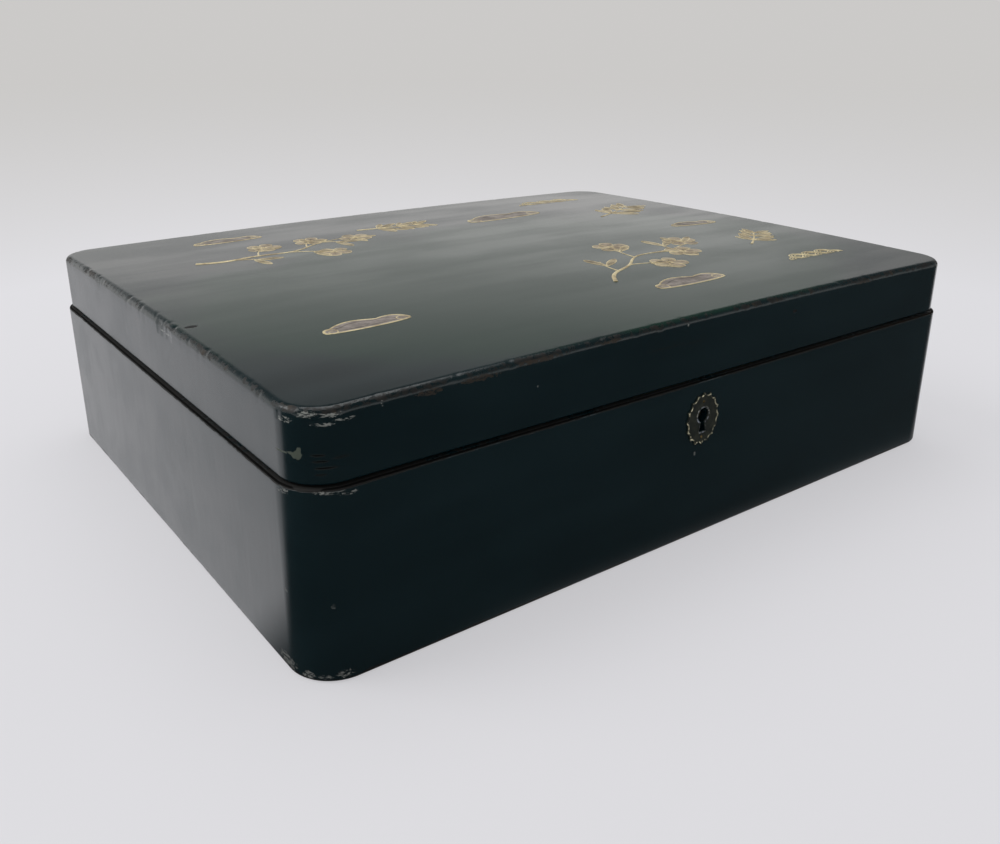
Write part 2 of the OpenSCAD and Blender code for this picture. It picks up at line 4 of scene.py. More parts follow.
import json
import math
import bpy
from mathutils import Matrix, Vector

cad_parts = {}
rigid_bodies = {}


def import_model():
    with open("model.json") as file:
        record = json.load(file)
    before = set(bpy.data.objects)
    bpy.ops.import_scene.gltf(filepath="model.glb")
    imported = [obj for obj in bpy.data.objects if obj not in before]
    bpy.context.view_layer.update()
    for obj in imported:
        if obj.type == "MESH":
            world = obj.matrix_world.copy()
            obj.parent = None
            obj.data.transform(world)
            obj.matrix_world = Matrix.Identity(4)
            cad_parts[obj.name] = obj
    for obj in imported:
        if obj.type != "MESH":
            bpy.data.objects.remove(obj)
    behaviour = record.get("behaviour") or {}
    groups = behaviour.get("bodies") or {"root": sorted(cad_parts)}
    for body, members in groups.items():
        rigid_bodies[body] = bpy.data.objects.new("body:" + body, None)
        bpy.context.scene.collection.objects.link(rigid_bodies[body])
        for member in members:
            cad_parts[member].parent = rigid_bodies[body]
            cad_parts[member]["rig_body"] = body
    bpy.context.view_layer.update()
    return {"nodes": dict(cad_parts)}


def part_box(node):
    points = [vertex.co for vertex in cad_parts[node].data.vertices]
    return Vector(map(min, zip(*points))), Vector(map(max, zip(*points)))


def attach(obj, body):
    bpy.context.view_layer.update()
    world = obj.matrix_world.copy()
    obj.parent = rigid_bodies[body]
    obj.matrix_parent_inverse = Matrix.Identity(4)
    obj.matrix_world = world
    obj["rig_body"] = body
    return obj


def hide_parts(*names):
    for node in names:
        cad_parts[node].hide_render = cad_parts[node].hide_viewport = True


bl_info = {
    "name": "Lacquered deed box",
    "version": (1, 0, 0),
    "blender": (4, 5, 0),
    "location": "3D View > Sidebar > Deed box",
    "description": "Builds a worn black lacquer deed box with gold relief round its measured frame",
    "category": "Add Mesh",
}

import bmesh
import bpy
from mathutils import Matrix, Vector, noise

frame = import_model()

MM = 0.001
# Parts that the straight run of a wall board is first swept in, and the length of a face in a bend
LONG_STEPS = 24
BEND_STEP = 0.4 * MM
MITRE = math.radians(45)
# The ledge that the lid leaves free on the base's rim, and how far its painted shade reaches down the edge
LEDGE_WIDTH = 2.2 * MM
LEDGE_DROP = 0.3 * MM
# Share of a board's thickness from which a face counts as inside
INSIDE = 0.98
# The keyhole: radius of its head, half widths of its neck and foot, and length of its leg
KEY_HEAD = 2.55 * MM
KEY_NECK = 1.0 * MM
KEY_FOOT = 1.7 * MM
KEY_LEG = 6.0 * MM
# Depth of the middle of the keyhole's head under the base's rim
KEY_DROP = 12.5 * MM
# The hinge leaves' thickness, and how far the cutters for metalwork reach past the wood
LEAF_T = 1.2 * MM
PAST_RIM = 2 * MM
PAST_BACK = 6 * MM
# Spare room behind and above the lock's case
CASE_SPARE = (0, 0.6 * MM, 0.5 * MM)
# Height of the relief's lines against their width, and of its flat shapes above and below the crown
LINE_HEIGHT = 0.34
LINE_LIFT = 0.02 * MM
SHAPE_HEIGHT = 0.06 * MM
# The worn edge of the lid's top: where its wear is full, and how far it fades out
WEAR_FULL = 1.4 * MM
WEAR_FADE = 2.6 * MM
# The camera's place, its turns in radians, its shift and its sensor's width in millimetres
CAMERA_PLACE = (-237.53 * MM, -317.55 * MM, 168.66 * MM)
CAMERA_YAW = 0.6415
CAMERA_PITCH = 0.34798
CAMERA_ROLL = 0.00324
CAMERA_SHIFT = -0.04235
SENSOR_WIDTH = 36
# In reflections the floor brightens between these distances, in metres to the left of the box and behind
# its front, and the room darkens between these heights and towards the right, as shares of the direction
FLOOR_LEFT = (-0.192, -0.158)
FLOOR_FRONT = (-0.125, -0.1)
ROOM_HIGH = (0.19, 0.36)
ROOM_TOP = (0.38, 0.52)
ROOM_RIGHT = (0.72, 0.96)
# Soft lamps: name, place in metres, width and power
LAMPS = (
    ("window", (-1.6, 0.9, 1.8), 1.6, 26.0),
    ("ceiling", (0.3, 0.4, 2.4), 2.0, 20.0),
)
# Marks in the lacquer, and painted glints among its chips, each a place and its reach along each axis, in
# millimetres
LID_CHIPS = (
    ((-146.3, -109.4, 67.9), (1.7, 1.7, 1.3)),
    ((-147.3, -108.0, 68.2), (1.2, 1.6, 0.5)),
    ((-145.9, -110.0, 69.2), (0.8, 0.8, 1.0)),
    ((-148.2, -104.0, 67.9), (1.0, 3.6, 0.3)),
)
# Light grey chips on the lid, partly real chips and partly painted glints on the worn edge near the corner
LID_PALE_CHIPS_AND_GLINTS = (
    ((-147.6, -106.6, 77.2), (1.6, 2.6, 0.9)),
    ((-144.4, -111.8, 79.0), (3.4, 2.6, 0.9)),
    ((-139.6, -114.4, 78.6), (4.6, 1.6, 0.7)),
    ((-140.8, -113.8, 76.3), (4.2, 2.0, 0.5)),
    ((-135.4, -115.1, 77.0), (3.4, 1.2, 0.5)),
    ((-124.3, -115.1, 78.6), (0.4, 0.8, 0.9)),
    ((-72.6, -115.2, 71.8), (0.4, 0.6, 0.4)),
    ((-10.0, -115.2, 79.6), (0.5, 0.6, 0.5)),
    ((-148.6, -20.0, 78.4), (0.8, 6.0, 0.4)),
)
LID_CRACKS = (
    ((-142.5, -113.5, 68.0), (2.4, 2.0, 0.24)),
    ((-142.2, -113.7, 66.3), (2.8, 2.0, 0.22)),
    ((-141.0, -114.0, 64.4), (4.2, 2.0, 0.25)),
    ((-136.5, -115.0, 66.9), (2.6, 1.6, 0.18)),
    ((-142.2, -113.7, 62.6), (1.8, 1.5, 0.2)),
    ((-20.0, -115.2, 73.6), (9.0, 0.8, 0.12)),
    ((-6.0, -115.2, 73.1), (6.0, 0.8, 0.12)),
)
LID_BROWN = (
    ((-109.7, -115.2, 78.4), (4.5, 1.5, 0.9)),
    ((-93.3, -115.2, 79.0), (7.0, 2.0, 0.9)),
    ((-72.0, -115.2, 79.9), (9.0, 2.0, 0.8)),
    ((-44.0, -115.2, 80.2), (5.0, 2.0, 0.6)),
    ((88.0, -115.2, 79.5), (6.0, 2.0, 0.6)),
)
LID_DENTS = (
    ((-143.4, -29.8, 81.8), (2.4, 1.4, 1.5)),
    ((45.9, -115.2, 74.9), (1.3, 1.0, 0.7)),
)
# Light grey chips and scuffs on the base's rim and foot, partly real and partly painted glints
BASE_PALE_CHIPS_AND_GLINTS = (
    ((-149.4, -105.6, 57.5), (1.0, 3.2, 0.8)),
    ((-143.0, -114.2, 58.1), (2.6, 1.6, 0.5)),
    ((-139.6, -115.8, 57.8), (4.4, 1.4, 0.5)),
    ((-135.6, -116.4, 57.0), (2.6, 1.0, 0.6)),
    ((-3.7, -116.5, 32.8), (0.5, 0.6, 0.9)),
    ((-149.7, -101.0, 2.8), (1.2, 5.0, 2.4)),
    ((-147.6, -109.6, 1.9), (1.8, 2.4, 1.6)),
    ((-144.4, -113.3, 1.8), (2.4, 1.8, 0.8)),
    ((-139.8, -115.8, 2.6), (3.0, 1.4, 1.3)),
    ((-141.6, -115.2, 24.2), (0.7, 0.7, 0.8)),
    ((-149.9, -103.8, 26.8), (0.5, 0.7, 0.7)),
)
# Where the lid's edge is chipped: place, reach along each axis, and depth, in millimetres
EDGE_CHIPS = (
    ((-148.5, -17.0, 80.2), (2.0, 5.5, 2.2), 0.55),
    ((-148.5, -23.0, 79.2), (2.0, 3.0, 1.6), 0.35),
    ((-147.9, 74.0, 80.6), (1.6, 4.0, 1.5), 0.35),
    ((-148.2, 54.0, 80.4), (1.6, 6.0, 1.5), 0.3),
    ((-147.6, -106.0, 77.6), (3.0, 4.0, 2.0), 0.4),
    ((-142.0, -113.6, 77.5), (5.0, 3.0, 1.8), 0.45),
    ((-135.0, -115.0, 77.0), (6.0, 2.5, 1.2), 0.3),
)
# Turn of each side's board about the upright axis, in degrees
SIDES = {"front": 0, "right": 90, "back": 180, "left": -90}
# Sizes taken from the frame
HALF_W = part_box("base_right")[1].x
HALF_D = -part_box("base_front")[0].y
BASE_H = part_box("base_front")[1].z
LID_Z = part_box("lid_front")[0].z
LID_TOP_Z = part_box("lid_top")[0].z
LID_HALF_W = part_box("lid_top")[1].x
LID_HALF_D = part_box("lid_top")[1].y
PEAK_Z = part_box("lid_top")[1].z
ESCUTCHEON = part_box("escutcheon")
KEYHOLE = Vector(((ESCUTCHEON[0].x + ESCUTCHEON[1].x) / 2, 0, BASE_H - KEY_DROP))


def length_prop(name, description, millimetres):
    return bpy.props.FloatProperty(
        name=name, description=description, default=millimetres * MM, unit="LENGTH"
    )


def colour_prop(name, description, default):
    return bpy.props.FloatVectorProperty(
        name=name, description=description, default=default, subtype="COLOR", size=3
    )


def number_prop(name, description, default):
    return bpy.props.FloatProperty(name=name, description=description, default=default)


class DeedBoxCarcass(bpy.types.PropertyGroup):
    """Sizes of the boards that the frame doesn't give"""

    board: length_prop("Board", "Thickness of the wall boards", 9)
    corner: length_prop("Corner", "Outer radius of the base's corners", 14.4)
    bottom: length_prop("Bottom", "Height of the rabbet for the bottom board", 5)
    rabbet: length_prop("Rabbet", "Depth of the rabbet for the bottom board", 4)
    foot_round: length_prop("Foot rounding", "Rounding of the foot edge", 1.2)
    rim_round: length_prop("Rim rounding", "Rounding of the rims' outer edges", 0.8)
    inner_round: length_prop("Inner rounding", "Rounding of the rims' inner edges", 0.5)
    top_round: length_prop("Top rounding", "Rounding round the lid's top", 2.4)
    crown: length_prop("Crown", "Rise of the lid's top along each axis", 1.4)
    step: length_prop("Mesh step", "Length of a face along a board", 0.8)


class DeedBoxLacquer(bpy.types.PropertyGroup):
    """Colours and gloss of the lacquer"""

    black: colour_prop("Black", "Colour of sound lacquer", (0.0011, 0.0075, 0.0093))
    faded: colour_prop(
        "Faded", "Greenish cast of the lacquer in the middle of the lid", (0.003, 0.019, 0.013)
    )
    rubbed: colour_prop("Rubbed", "Colour where the lacquer is rubbed thin", (0.0045, 0.0042, 0.0034))
    chipped: colour_prop("Chipped", "Colour of the ground under a chip", (0.048, 0.06, 0.042))
    bare: colour_prop("Bare", "Colour of the wood where the lacquer is gone", (0.021, 0.013, 0.006))
    # A light grey, partly the ground of fresh chips and partly a painted glint
    pale_chips_and_glints: colour_prop("Pale", "Colour of fresh pale chips", (0.16, 0.165, 0.15))
    inner: colour_prop("Inner", "Colour of the lacquer inside", (0.010, 0.0065, 0.0055))
    # A crack is drawn as a dark line, partly painted shade in its groove; the lighter band beside it is a
    # painted highlight on its lifted edges
    crack: colour_prop("Crack", "Colour in a crack", (0.0004, 0.0004, 0.0004))
    crack_lip_highlight: colour_prop("Crack lip", "Colour beside a crack", (0.007, 0.012, 0.012))
    dent: colour_prop("Dent", "Colour in a dent", (0.002, 0.002, 0.002))
    # The ledge's near-black colour is painted shade, for the seam under the lid where shade falls
    ledge_shade: colour_prop("Dirt", "Dark dirt on the ledge under the lid", (0.0012, 0.0011, 0.001))
    brown_dirt: colour_prop("Brown dirt", "Dirt towards the ledge's right end", (0.014, 0.007, 0.0035))
    ior: number_prop("Refraction", "Index of refraction of the lacquer", 1.5)
    roughness: number_prop("Roughness", "Roughness of sound lacquer", 0.21)


class DeedBoxGilding(bpy.types.PropertyGroup):
    """Colours of the relief on the lid, each with its worn colour"""

    gold: colour_prop("Gold", "Gold lines", (0.66, 0.56, 0.33))
    gold_worn: colour_prop("Worn gold", "Gold lines where worn", (0.36, 0.28, 0.16))
    dark: colour_prop("Dark", "Dark lines", (0.035, 0.022, 0.015))
    dark_worn: colour_prop("Worn dark", "Dark lines where worn", (0.02, 0.013, 0.01))
    petal: colour_prop("Petal", "Petals", (0.34, 0.27, 0.185))
    petal_worn: colour_prop("Worn petal", "Petals where worn", (0.15, 0.12, 0.09))
    leaf: colour_prop("Leaf", "Leaves", (0.36, 0.29, 0.17))
    leaf_worn: colour_prop("Worn leaf", "Leaves where worn", (0.13, 0.105, 0.07))
    mauve: colour_prop("Mauve", "Clouds", (0.25, 0.215, 0.19))
    mauve_worn: colour_prop("Worn mauve", "Clouds where worn", (0.15, 0.13, 0.115))


class DeedBoxMetal(bpy.types.PropertyGroup):
    """Colours of the hinges, the lock, the screws and the escutcheon"""

    brass: colour_prop("Brass", "Hinges and plates", (0.52, 0.39, 0.17))
    brass_dull: colour_prop("Dull brass", "Hinges and plates where tarnished", (0.13, 0.095, 0.05))
    screw: colour_prop("Screw", "Brass screws", (0.46, 0.35, 0.16))
    screw_dull: colour_prop("Dull screw", "Brass screws where tarnished", (0.10, 0.075, 0.04))
    steel: colour_prop("Steel", "Bolt, spring and lock screws", (0.36, 0.36, 0.36))
    steel_dull: colour_prop("Dull steel", "Steel where tarnished", (0.12, 0.10, 0.085))
    # The border's colour is rubbed brass; the lip's bluish grey is a painted highlight
    border: colour_prop("Border", "The escutcheon's rubbed border", (0.95, 0.88, 0.60))
    lip: colour_prop("Lip", "The rubbed lip round the keyhole", (0.34, 0.37, 0.42))
    field: colour_prop("Field", "The escutcheon's dark field", (0.012, 0.017, 0.014))
    field_worn: colour_prop("Worn field", "The dark field where worn", (0.035, 0.038, 0.026))


class DeedBoxStage(bpy.types.PropertyGroup):
    """Floor, light and camera"""

    floor: colour_prop("Floor", "Colour of the floor", (0.74, 0.73, 0.76))
    backdrop: colour_prop("Backdrop", "Colour behind the box", (0.60, 0.59, 0.58))
    light: colour_prop("Light", "Colour of the room's light", (0.97, 0.985, 1.0))
    floor_glow: colour_prop("Floor glow", "Paleness of the floor near the box", (0.655, 0.65, 0.67))
    glow_share: number_prop("Glow share", "How much of the floor's look is its own glow", 0.7)
    front_glow: number_prop("Front glow", "Brightness of the front floor in reflections", 0.1)
    left_glow: number_prop("Left glow", "Brightness of the left floor in reflections", 1.25)
    right_glow: number_prop("Right glow", "Brightness of the room's right part in reflections", 0.3)
    high_glow: number_prop("High glow", "Brightness of the room's upper part in reflections", 0.3)
    top_glow: number_prop("Top glow", "Brightness of the room overhead in reflections", 0.35)
    room_glow: number_prop("Room glow", "Brightness of the room low down in reflections", 1.45)
    ambient: number_prop("Ambient", "Strength of the room's light", 0.75)
    lens: number_prop("Lens", "Focal length of the camera in millimetres", 34.42)


# Meshes


def line_inside(bm, half_w, half_d, thickness, ledge=False):
    """Gives a board's inner faces the second material, and the ledge outside the lid the third, which paints
    shade on it
    """
    for face in bm.faces:
        centre = face.calc_center_median()
        depth = min(half_w - abs(centre.x), half_d - abs(centre.y))
        face.material_index = int(depth > INSIDE * thickness)
        if ledge and centre.z > BASE_H - LEDGE_DROP and depth < LEDGE_WIDTH:
            face.material_index = 2


def add_piece(bm, name, materials, body, replaced=(), sharp=35):
    """Makes an object of a mesh and lets it ride on its body"""
    mesh = bpy.data.meshes.new(name)
    bm.to_mesh(mesh)
    bm.free()
    for material in materials:
        mesh.materials.append(material)
    mesh.polygons.foreach_set("use_smooth", [True] * len(mesh.polygons))
    mesh.set_sharp_from_angle(angle=math.radians(sharp))
    piece = bpy.data.objects.new(name, mesh)
    bpy.context.scene.collection.objects.link(piece)
    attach(piece, body)
    if replaced:
        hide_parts(*replaced)
    return piece


def verts_of(made):
    """The vertices that an operator has made"""
    return [item for item in made["geom"] if isinstance(item, bmesh.types.BMVert)]


def edges_between(made, verts):
    """The new edges whose ends are both among the given vertices"""
    ends = set(verts)
    edges = [item for item in made["geom"] if isinstance(item, bmesh.types.BMEdge)]
    return [edge for edge in edges if all(vert in ends for vert in edge.verts)]


def sweep(bm, item, steps, centre=(0, 0, 0), angle=0.0, step=(0, 0, 0)):
    """Extrudes a face or a vertex in steps, turned about an upright axis or moved, and gives the last one"""
    is_face = isinstance(item, bmesh.types.BMFace)
    made = bmesh.ops.spin(
        bm, geom=[*item.verts, *item.edges, item] if is_face else [item], cent=centre, axis=(0, 0, 1),
        dvec=step, angle=angle, steps=steps, use_merge=False, use_normal_flip=False, use_duplicate=False,
    )
    return next(last for last in made["geom_last"] if isinstance(last, type(item)))


def board_section(bm, x, half, foot, head, thickness, rounds, cuts, rabbet=None):
    """Upright section of a wall board at a place along it, with its outer side at -Y"""
    outer = -half
    inner = outer + thickness
    corners = [(outer, foot), (inner, foot), (inner, head), (outer, head)]
    if rabbet:
        depth, height = rabbet
        corners[1:2] = [(inner - depth, foot), (inner - depth, foot + height), (inner, foot + height)]
    verts = [bm.verts.new((x, y, z)) for y, z in corners]
    bm.faces.new(verts)
    bmesh.ops.subdivide_edges(bm, edges=[bm.edges.get((verts[-1], verts[0]))], cuts=cuts)
    places = ((outer, foot), (outer, head), (inner, head), (inner, foot))
    for place, radius in zip(places, rounds):
        if radius:
            vert = min(bm.verts, key=lambda item: (item.co - Vector((x, *place))).length)
            bmesh.ops.bevel(
                bm, geom=[vert], offset=radius, offset_type="OFFSET", affect="VERTICES", segments=7,
                profile=0.5, material=-1,
            )
    return next(iter(bm.faces))


def board(side, carcass, lid=False):
    """One wall board, bent round at each end to its mitre"""
    length, half = (HALF_W, HALF_D) if side in ("front", "back") else (HALF_D, HALF_W)
    radius = carcass.corner
    foot, head = 0.0, BASE_H
    rounds = (carcass.foot_round, carcass.rim_round, carcass.inner_round, 0)
    rabbet = (carcass.rabbet, carcass.bottom)
    cuts = 24
    if lid:
        reveal = HALF_W - LID_HALF_W
        length, half, radius = length - reveal, half - reveal, radius - reveal
        foot, head = LID_Z, LID_TOP_Z
        rounds = (carcass.rim_round, 0, 0, carcass.inner_round)
        rabbet = None
        cuts = 12
    run = length - radius
    bm = bmesh.new()
    face = board_section(bm, -run, half, foot, head, carcass.board, rounds, cuts, rabbet)
    bends = max(8, round(radius * MITRE / BEND_STEP))
    left, right = (-run, radius - half, 0), (run, radius - half, 0)
    bmesh.ops.rotate(bm, verts=bm.verts, cent=left, matrix=Matrix.Rotation(-MITRE, 3, "Z"))
    face = sweep(bm, face, bends, left, MITRE)
    face = sweep(bm, face, LONG_STEPS, step=(2 * run / LONG_STEPS, 0, 0))
    sweep(bm, face, bends, right, MITRE)
    long_edges = [
        edge for edge in bm.edges if abs(edge.verts[0].co.x - edge.verts[1].co.x) > run / LONG_STEPS
    ]
    cuts = round(2 * run / LONG_STEPS / carcass.step) - 1
    bmesh.ops.subdivide_edges(bm, edges=long_edges, cuts=cuts, use_grid_fill=True)
    bmesh.ops.recalc_face_normals(bm, faces=bm.faces)
    turn = Matrix.Rotation(math.radians(SIDES[side]), 3, "Z")
    bmesh.ops.rotate(bm, verts=bm.verts, cent=(0, 0, 0), matrix=turn)
    return bm


def cutter_box(bm, low, high):
    """Adds a box between two corners to a mesh"""
    low, high = Vector(low), Vector(high)
    made = bmesh.ops.create_cube(bm, size=1.0)
    bmesh.ops.scale(bm, vec=high - low, verts=made["verts"])
    bmesh.ops.translate(bm, vec=(low + high) / 2, verts=made["verts"])


def lock_cutter(plate, case):
    """Room for the lock's plate and its bent edge, as one solid"""
    deep, flush = case[1].y, plate[1].y + MM
    bm = bmesh.new()
    above = BASE_H + MM
    section = (
        (flush, plate[0].z), (flush, above), (plate[0].y, above), (plate[0].y, case[1].z),
        (deep, case[1].z), (deep, plate[0].z),
    )
    face = bm.faces.new([bm.verts.new((plate[0].x, y, z)) for y, z in section])
    raised = bmesh.ops.extrude_face_region(bm, geom=[face])
    bmesh.ops.translate(bm, vec=(plate[1].x - plate[0].x, 0, 0), verts=verts_of(raised))
    return bm


def cut_away(piece, *cutters):
    """Takes meshes away from a finished piece, one after the other"""
    tools = []
    for cutter in cutters:
        bmesh.ops.recalc_face_normals(cutter, faces=cutter.faces)
        mesh = bpy.data.meshes.new("cutter")
        cutter.to_mesh(mesh)
        cutter.free()
        tool = bpy.data.objects.new("cutter", mesh)
        bpy.context.scene.collection.objects.link(tool)
        tools.append(tool)
        modifier = piece.modifiers.new("cut", "BOOLEAN")
        modifier.operation = "DIFFERENCE"
        modifier.solver = "EXACT"
        modifier.object = tool
    evaluated = piece.evaluated_get(bpy.context.evaluated_depsgraph_get())
    result = bpy.data.meshes.new_from_object(evaluated)
    result.name = piece.name
    piece.modifiers.clear()
    piece.data = result
    for tool in tools:
        bpy.data.objects.remove(tool)


def leaf_mortise(bm, leaf, low_z, high_z):
    """Room for a hinge leaf in a rim"""
    low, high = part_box(leaf)
    cutter_box(bm, (low.x, low.y, low_z), (high.x, HALF_D + PAST_BACK, high_z))


def keyhole_radius(angle):
    """Distance from the keyhole's centre to its edge; the angle is measured from straight down"""
    angle = abs(angle)
    if angle <= math.atan2(KEY_FOOT, KEY_LEG):
        return KEY_LEG / math.cos(angle)
    shoulder = math.sqrt(KEY_HEAD ** 2 - KEY_NECK ** 2)
    if angle <= math.atan2(KEY_NECK, shoulder):
        slope = (KEY_FOOT - KEY_NECK) / (KEY_LEG - shoulder)
        start = KEY_NECK - slope * shoulder
        return start / (math.sin(angle) - slope * math.cos(angle))
    return KEY_HEAD


def keyhole_point(direction, y, grow=0.0):
    """Point of the keyhole's edge that lies in a direction from its centre"""
    angle = math.atan2(direction.x, -direction.z)
    reach = keyhole_radius(angle) + grow
    return Vector((KEYHOLE.x + reach * math.sin(angle), y, KEYHOLE.z - reach * math.cos(angle)))


def lid_corner(carcass):
    """Radius of the lid's corners"""
    return carcass.corner - (HALF_W - LID_HALF_W)


def crown_height(x, y, rise):
    """Height of the lid's crowned top"""
    return PEAK_Z - rise * (x / LID_HALF_W) ** 2 - rise * (y / LID_HALF_D) ** 2


def outline_ring(bm, radius, step):
    """A closed loop of edges round the lid's outline"""
    run_x, run_y = LID_HALF_W - radius, LID_HALF_D - radius
    vert = bm.verts.new((-run_x, -LID_HALF_D, LID_TOP_Z))
    quarter = math.radians(90)
    bends = round(radius * quarter / BEND_STEP)
    for run, direction, centre in (
        (run_x, (1, 0, 0), (run_x, -run_y, 0)),
        (run_y, (0, 1, 0), (run_x, run_y, 0)),
        (run_x, (-1, 0, 0), (-run_x, run_y, 0)),
        (run_y, (0, -1, 0), (-run_x, -run_y, 0)),
    ):
        steps = round(2 * run / step)
        vert = sweep(bm, vert, steps, step=Vector(direction) * 2 * run / steps)
        vert = sweep(bm, vert, bends, centre, quarter)
    bmesh.ops.remove_doubles(bm, verts=bm.verts, dist=0.01 * MM)
    return bm.edges[:]


def outline_parts(point, radius):
    """The middle of the corner arc that a point of the outline belongs to, and its outward direction"""
    core = Vector((
        max(-LID_HALF_W + radius, min(LID_HALF_W - radius, point.x)),
        max(-LID_HALF_D + radius, min(LID_HALF_D - radius, point.y)),
    ))
    out = Vector((point.x, point.y)) - core
    return core, out.normalized()


def top_edge_share(co, carcass):
    """How near a point is to the rounded edge of the lid's top: 1 on it, 0 at some distance"""
    radius = lid_corner(carcass)
    core, _ = outline_parts(co, radius)
    inset = radius - (Vector((co.x, co.y)) - core).length
    drop = crown_height(co.x, co.y, carcass.crown) - co.z
    away = max(inset, drop) - WEAR_FULL
    return max(0.0, min(1.0, 1 - away / WEAR_FADE))


def nick(co, scale, threshold):
    """Depth of the small nicks at a point, from 0 to 1"""
    return max(0.0, noise.noise(co / scale) - threshold) / (1 - threshold)


def wear_lid(bm, carcass):
    """Marks the lid's rounded edge, and presses nicks and chips into it"""
    layer = bm.verts.layers.float.new("top_edge")
    bm.normal_update()
    for vert in bm.verts:
        share = top_edge_share(vert.co, carcass)
        vert[layer] = share
        if share <= 0:
            continue
        depth = 0.45 * nick(vert.co, 3.5 * MM, 0.3) + 0.12 * nick(vert.co, 1.1 * MM, 0.2)
        depth *= share ** 3
        for place, size, bite in EDGE_CHIPS:
            offset = vert.co - Vector(place) * MM
            reach = Vector([part / (extent * MM) for part, extent in zip(offset, size)]).length
            rough = 0.7 + 0.6 * noise.noise(vert.co / (1.5 * MM))
            depth += bite * max(0.0, 1 - reach) ** 0.5 * rough
        vert.co -= vert.normal * depth * MM


def lid_top_mesh(carcass):
    """The crowned top board with its rounded edge"""
    radius = lid_corner(carcass)
    bm = bmesh.new()
    edges = outline_ring(bm, radius, carcass.step)
    ring = list(bm.verts)
    places = {vert: outline_parts(vert.co, radius) for vert in ring}
    arcs, flat_rings, shares = 9, (0.4, 0.9, 1.6, 2.6, 4), 14
    insets = []
    for k in range(arcs + 1):
        turn = math.radians(90 * k / arcs)
        inset, drop = (carcass.top_round * (1 - part) for part in (math.cos(turn), math.sin(turn)))
        insets.append((inset, drop, 1))
    insets += [(carcass.top_round + extra * MM, 0, 1) for extra in flat_rings]
    inner = carcass.top_round + flat_rings[-1] * MM
    insets += [(inner, 0, 1 - k / shares) for k in range(1, shares)]
    bmesh.ops.edgeloop_fill(bm, edges=edges)
    for inset, drop, share in insets:
        made = bmesh.ops.extrude_edge_only(bm, edges=edges)
        old = {tuple(vert.co): places[vert] for vert in ring}
        ring = verts_of(made)
        for vert in ring:
            places[vert] = old[tuple(vert.co)]
            core, out = places[vert]
            plan = (core + out * (radius - inset)) * share
            vert.co = (plan.x, plan.y, crown_height(plan.x, plan.y, carcass.crown) - drop)
        edges = edges_between(made, ring)
    bmesh.ops.pointmerge(bm, verts=ring, merge_co=(0, 0, PEAK_Z))
    bmesh.ops.recalc_face_normals(bm, faces=bm.faces)
    return bm


def escutcheon_mesh(points=16):
    """Scalloped oval plate with a raised beaded border and a lip round its keyhole"""
    low, high = ESCUTCHEON
    middle = (low + high) / 2
    half_w, half_h = (high.x - low.x) / 2, (high.z - low.z) / 2
    back, front = high.y, low.y
    bm = bmesh.new()
    segments = 192
    ring = bmesh.ops.create_circle(bm, cap_ends=False, segments=segments, radius=1.0)["verts"]
    turns = [math.atan2(vert.co.y, vert.co.x) for vert in ring]
    edges = bm.edges[:]
    back_edges = edges[:]

    def oval(turn, inset, y):
        dent = 1 - 0.1 * abs(math.sin(points * turn / 2)) ** 0.8 * max(0.0, 1 - inset / (2.2 * MM))
        x = middle.x + (half_w * dent - inset) * math.cos(turn)
        return Vector((x, y, middle.z + (half_h * dent - inset) * math.sin(turn)))

    def border(inset, y, beads=0.0):
        return lambda turn: oval(turn, inset * MM, y - beads * MM * (0.5 + 0.5 * math.cos(points * turn)))

    def lip(grow, y):
        return lambda turn: keyhole_point(oval(turn, 2.2 * MM, 0) - KEYHOLE, y, grow * MM)

    for vert, turn in zip(ring, turns):
        vert.co = oval(turn, 0, back)
    field = back - 0.4 * MM
    profile = (
        border(0.0, back - 0.35 * MM),
        border(0.15, front + 0.12 * MM, 0.1),
        border(0.4, front + 0.02 * MM),
        border(0.7, front + 0.12 * MM),
        border(0.9, field),
        border(2.2, field),
        lip(0.75, field),
        lip(0.5, field - 0.18 * MM),
        lip(0.2, field - 0.18 * MM),
        lip(0.0, field),
        lip(0.0, back),
    )
    angle_of = {tuple(vert.co): turn for vert, turn in zip(ring, turns)}
    for shape in profile:
        made = bmesh.ops.extrude_edge_only(bm, edges=edges)
        verts = verts_of(made)
        edges = edges_between(made, verts)
        placed = {}
        for vert in verts:
            turn = angle_of[tuple(vert.co)]
            vert.co = shape(turn)
            placed[tuple(vert.co)] = turn
        angle_of = placed
    bmesh.ops.bridge_loops(bm, edges=[*back_edges, *edges])
    bmesh.ops.recalc_face_normals(bm, faces=bm.faces)
    return bm


# Gold relief on the lid


class Relief:
    """Collects the lines and filled shapes of the lid's decoration, in millimetres on the lid's plan"""

    def __init__(self):
        self.lines = []
        self.fills = []

    def line(self, points, width, closed=False, tone="gold", taper=0.0):
        self.lines.append((points, width, closed, tone, taper))

    def shape(self, points, tone, outline):
        self.fills.append((points, tone))
        self.line(points, outline, True)


def placed(points, place, angle=0.0, size=1.0):
    """Points of a design of unit size, scaled, turned by an angle in degrees and moved to a place"""
    turn = Matrix.Rotation(math.radians(angle), 2)
    return [Vector(place) + turn @ (Vector(point) * size) for point in points]


def petal_outline(width, point, count=24):
    """Closed outline of a petal or leaf, one unit long along X"""
    outline = []
    for k in range(count):
        turn = 2 * math.pi * k / count
        along = 0.5 - 0.5 * math.cos(turn)
        side = math.sin(turn)
        outline.append((along, width * math.copysign(abs(side) ** point, side) * (0.7 + 0.5 * along)))
    return outline


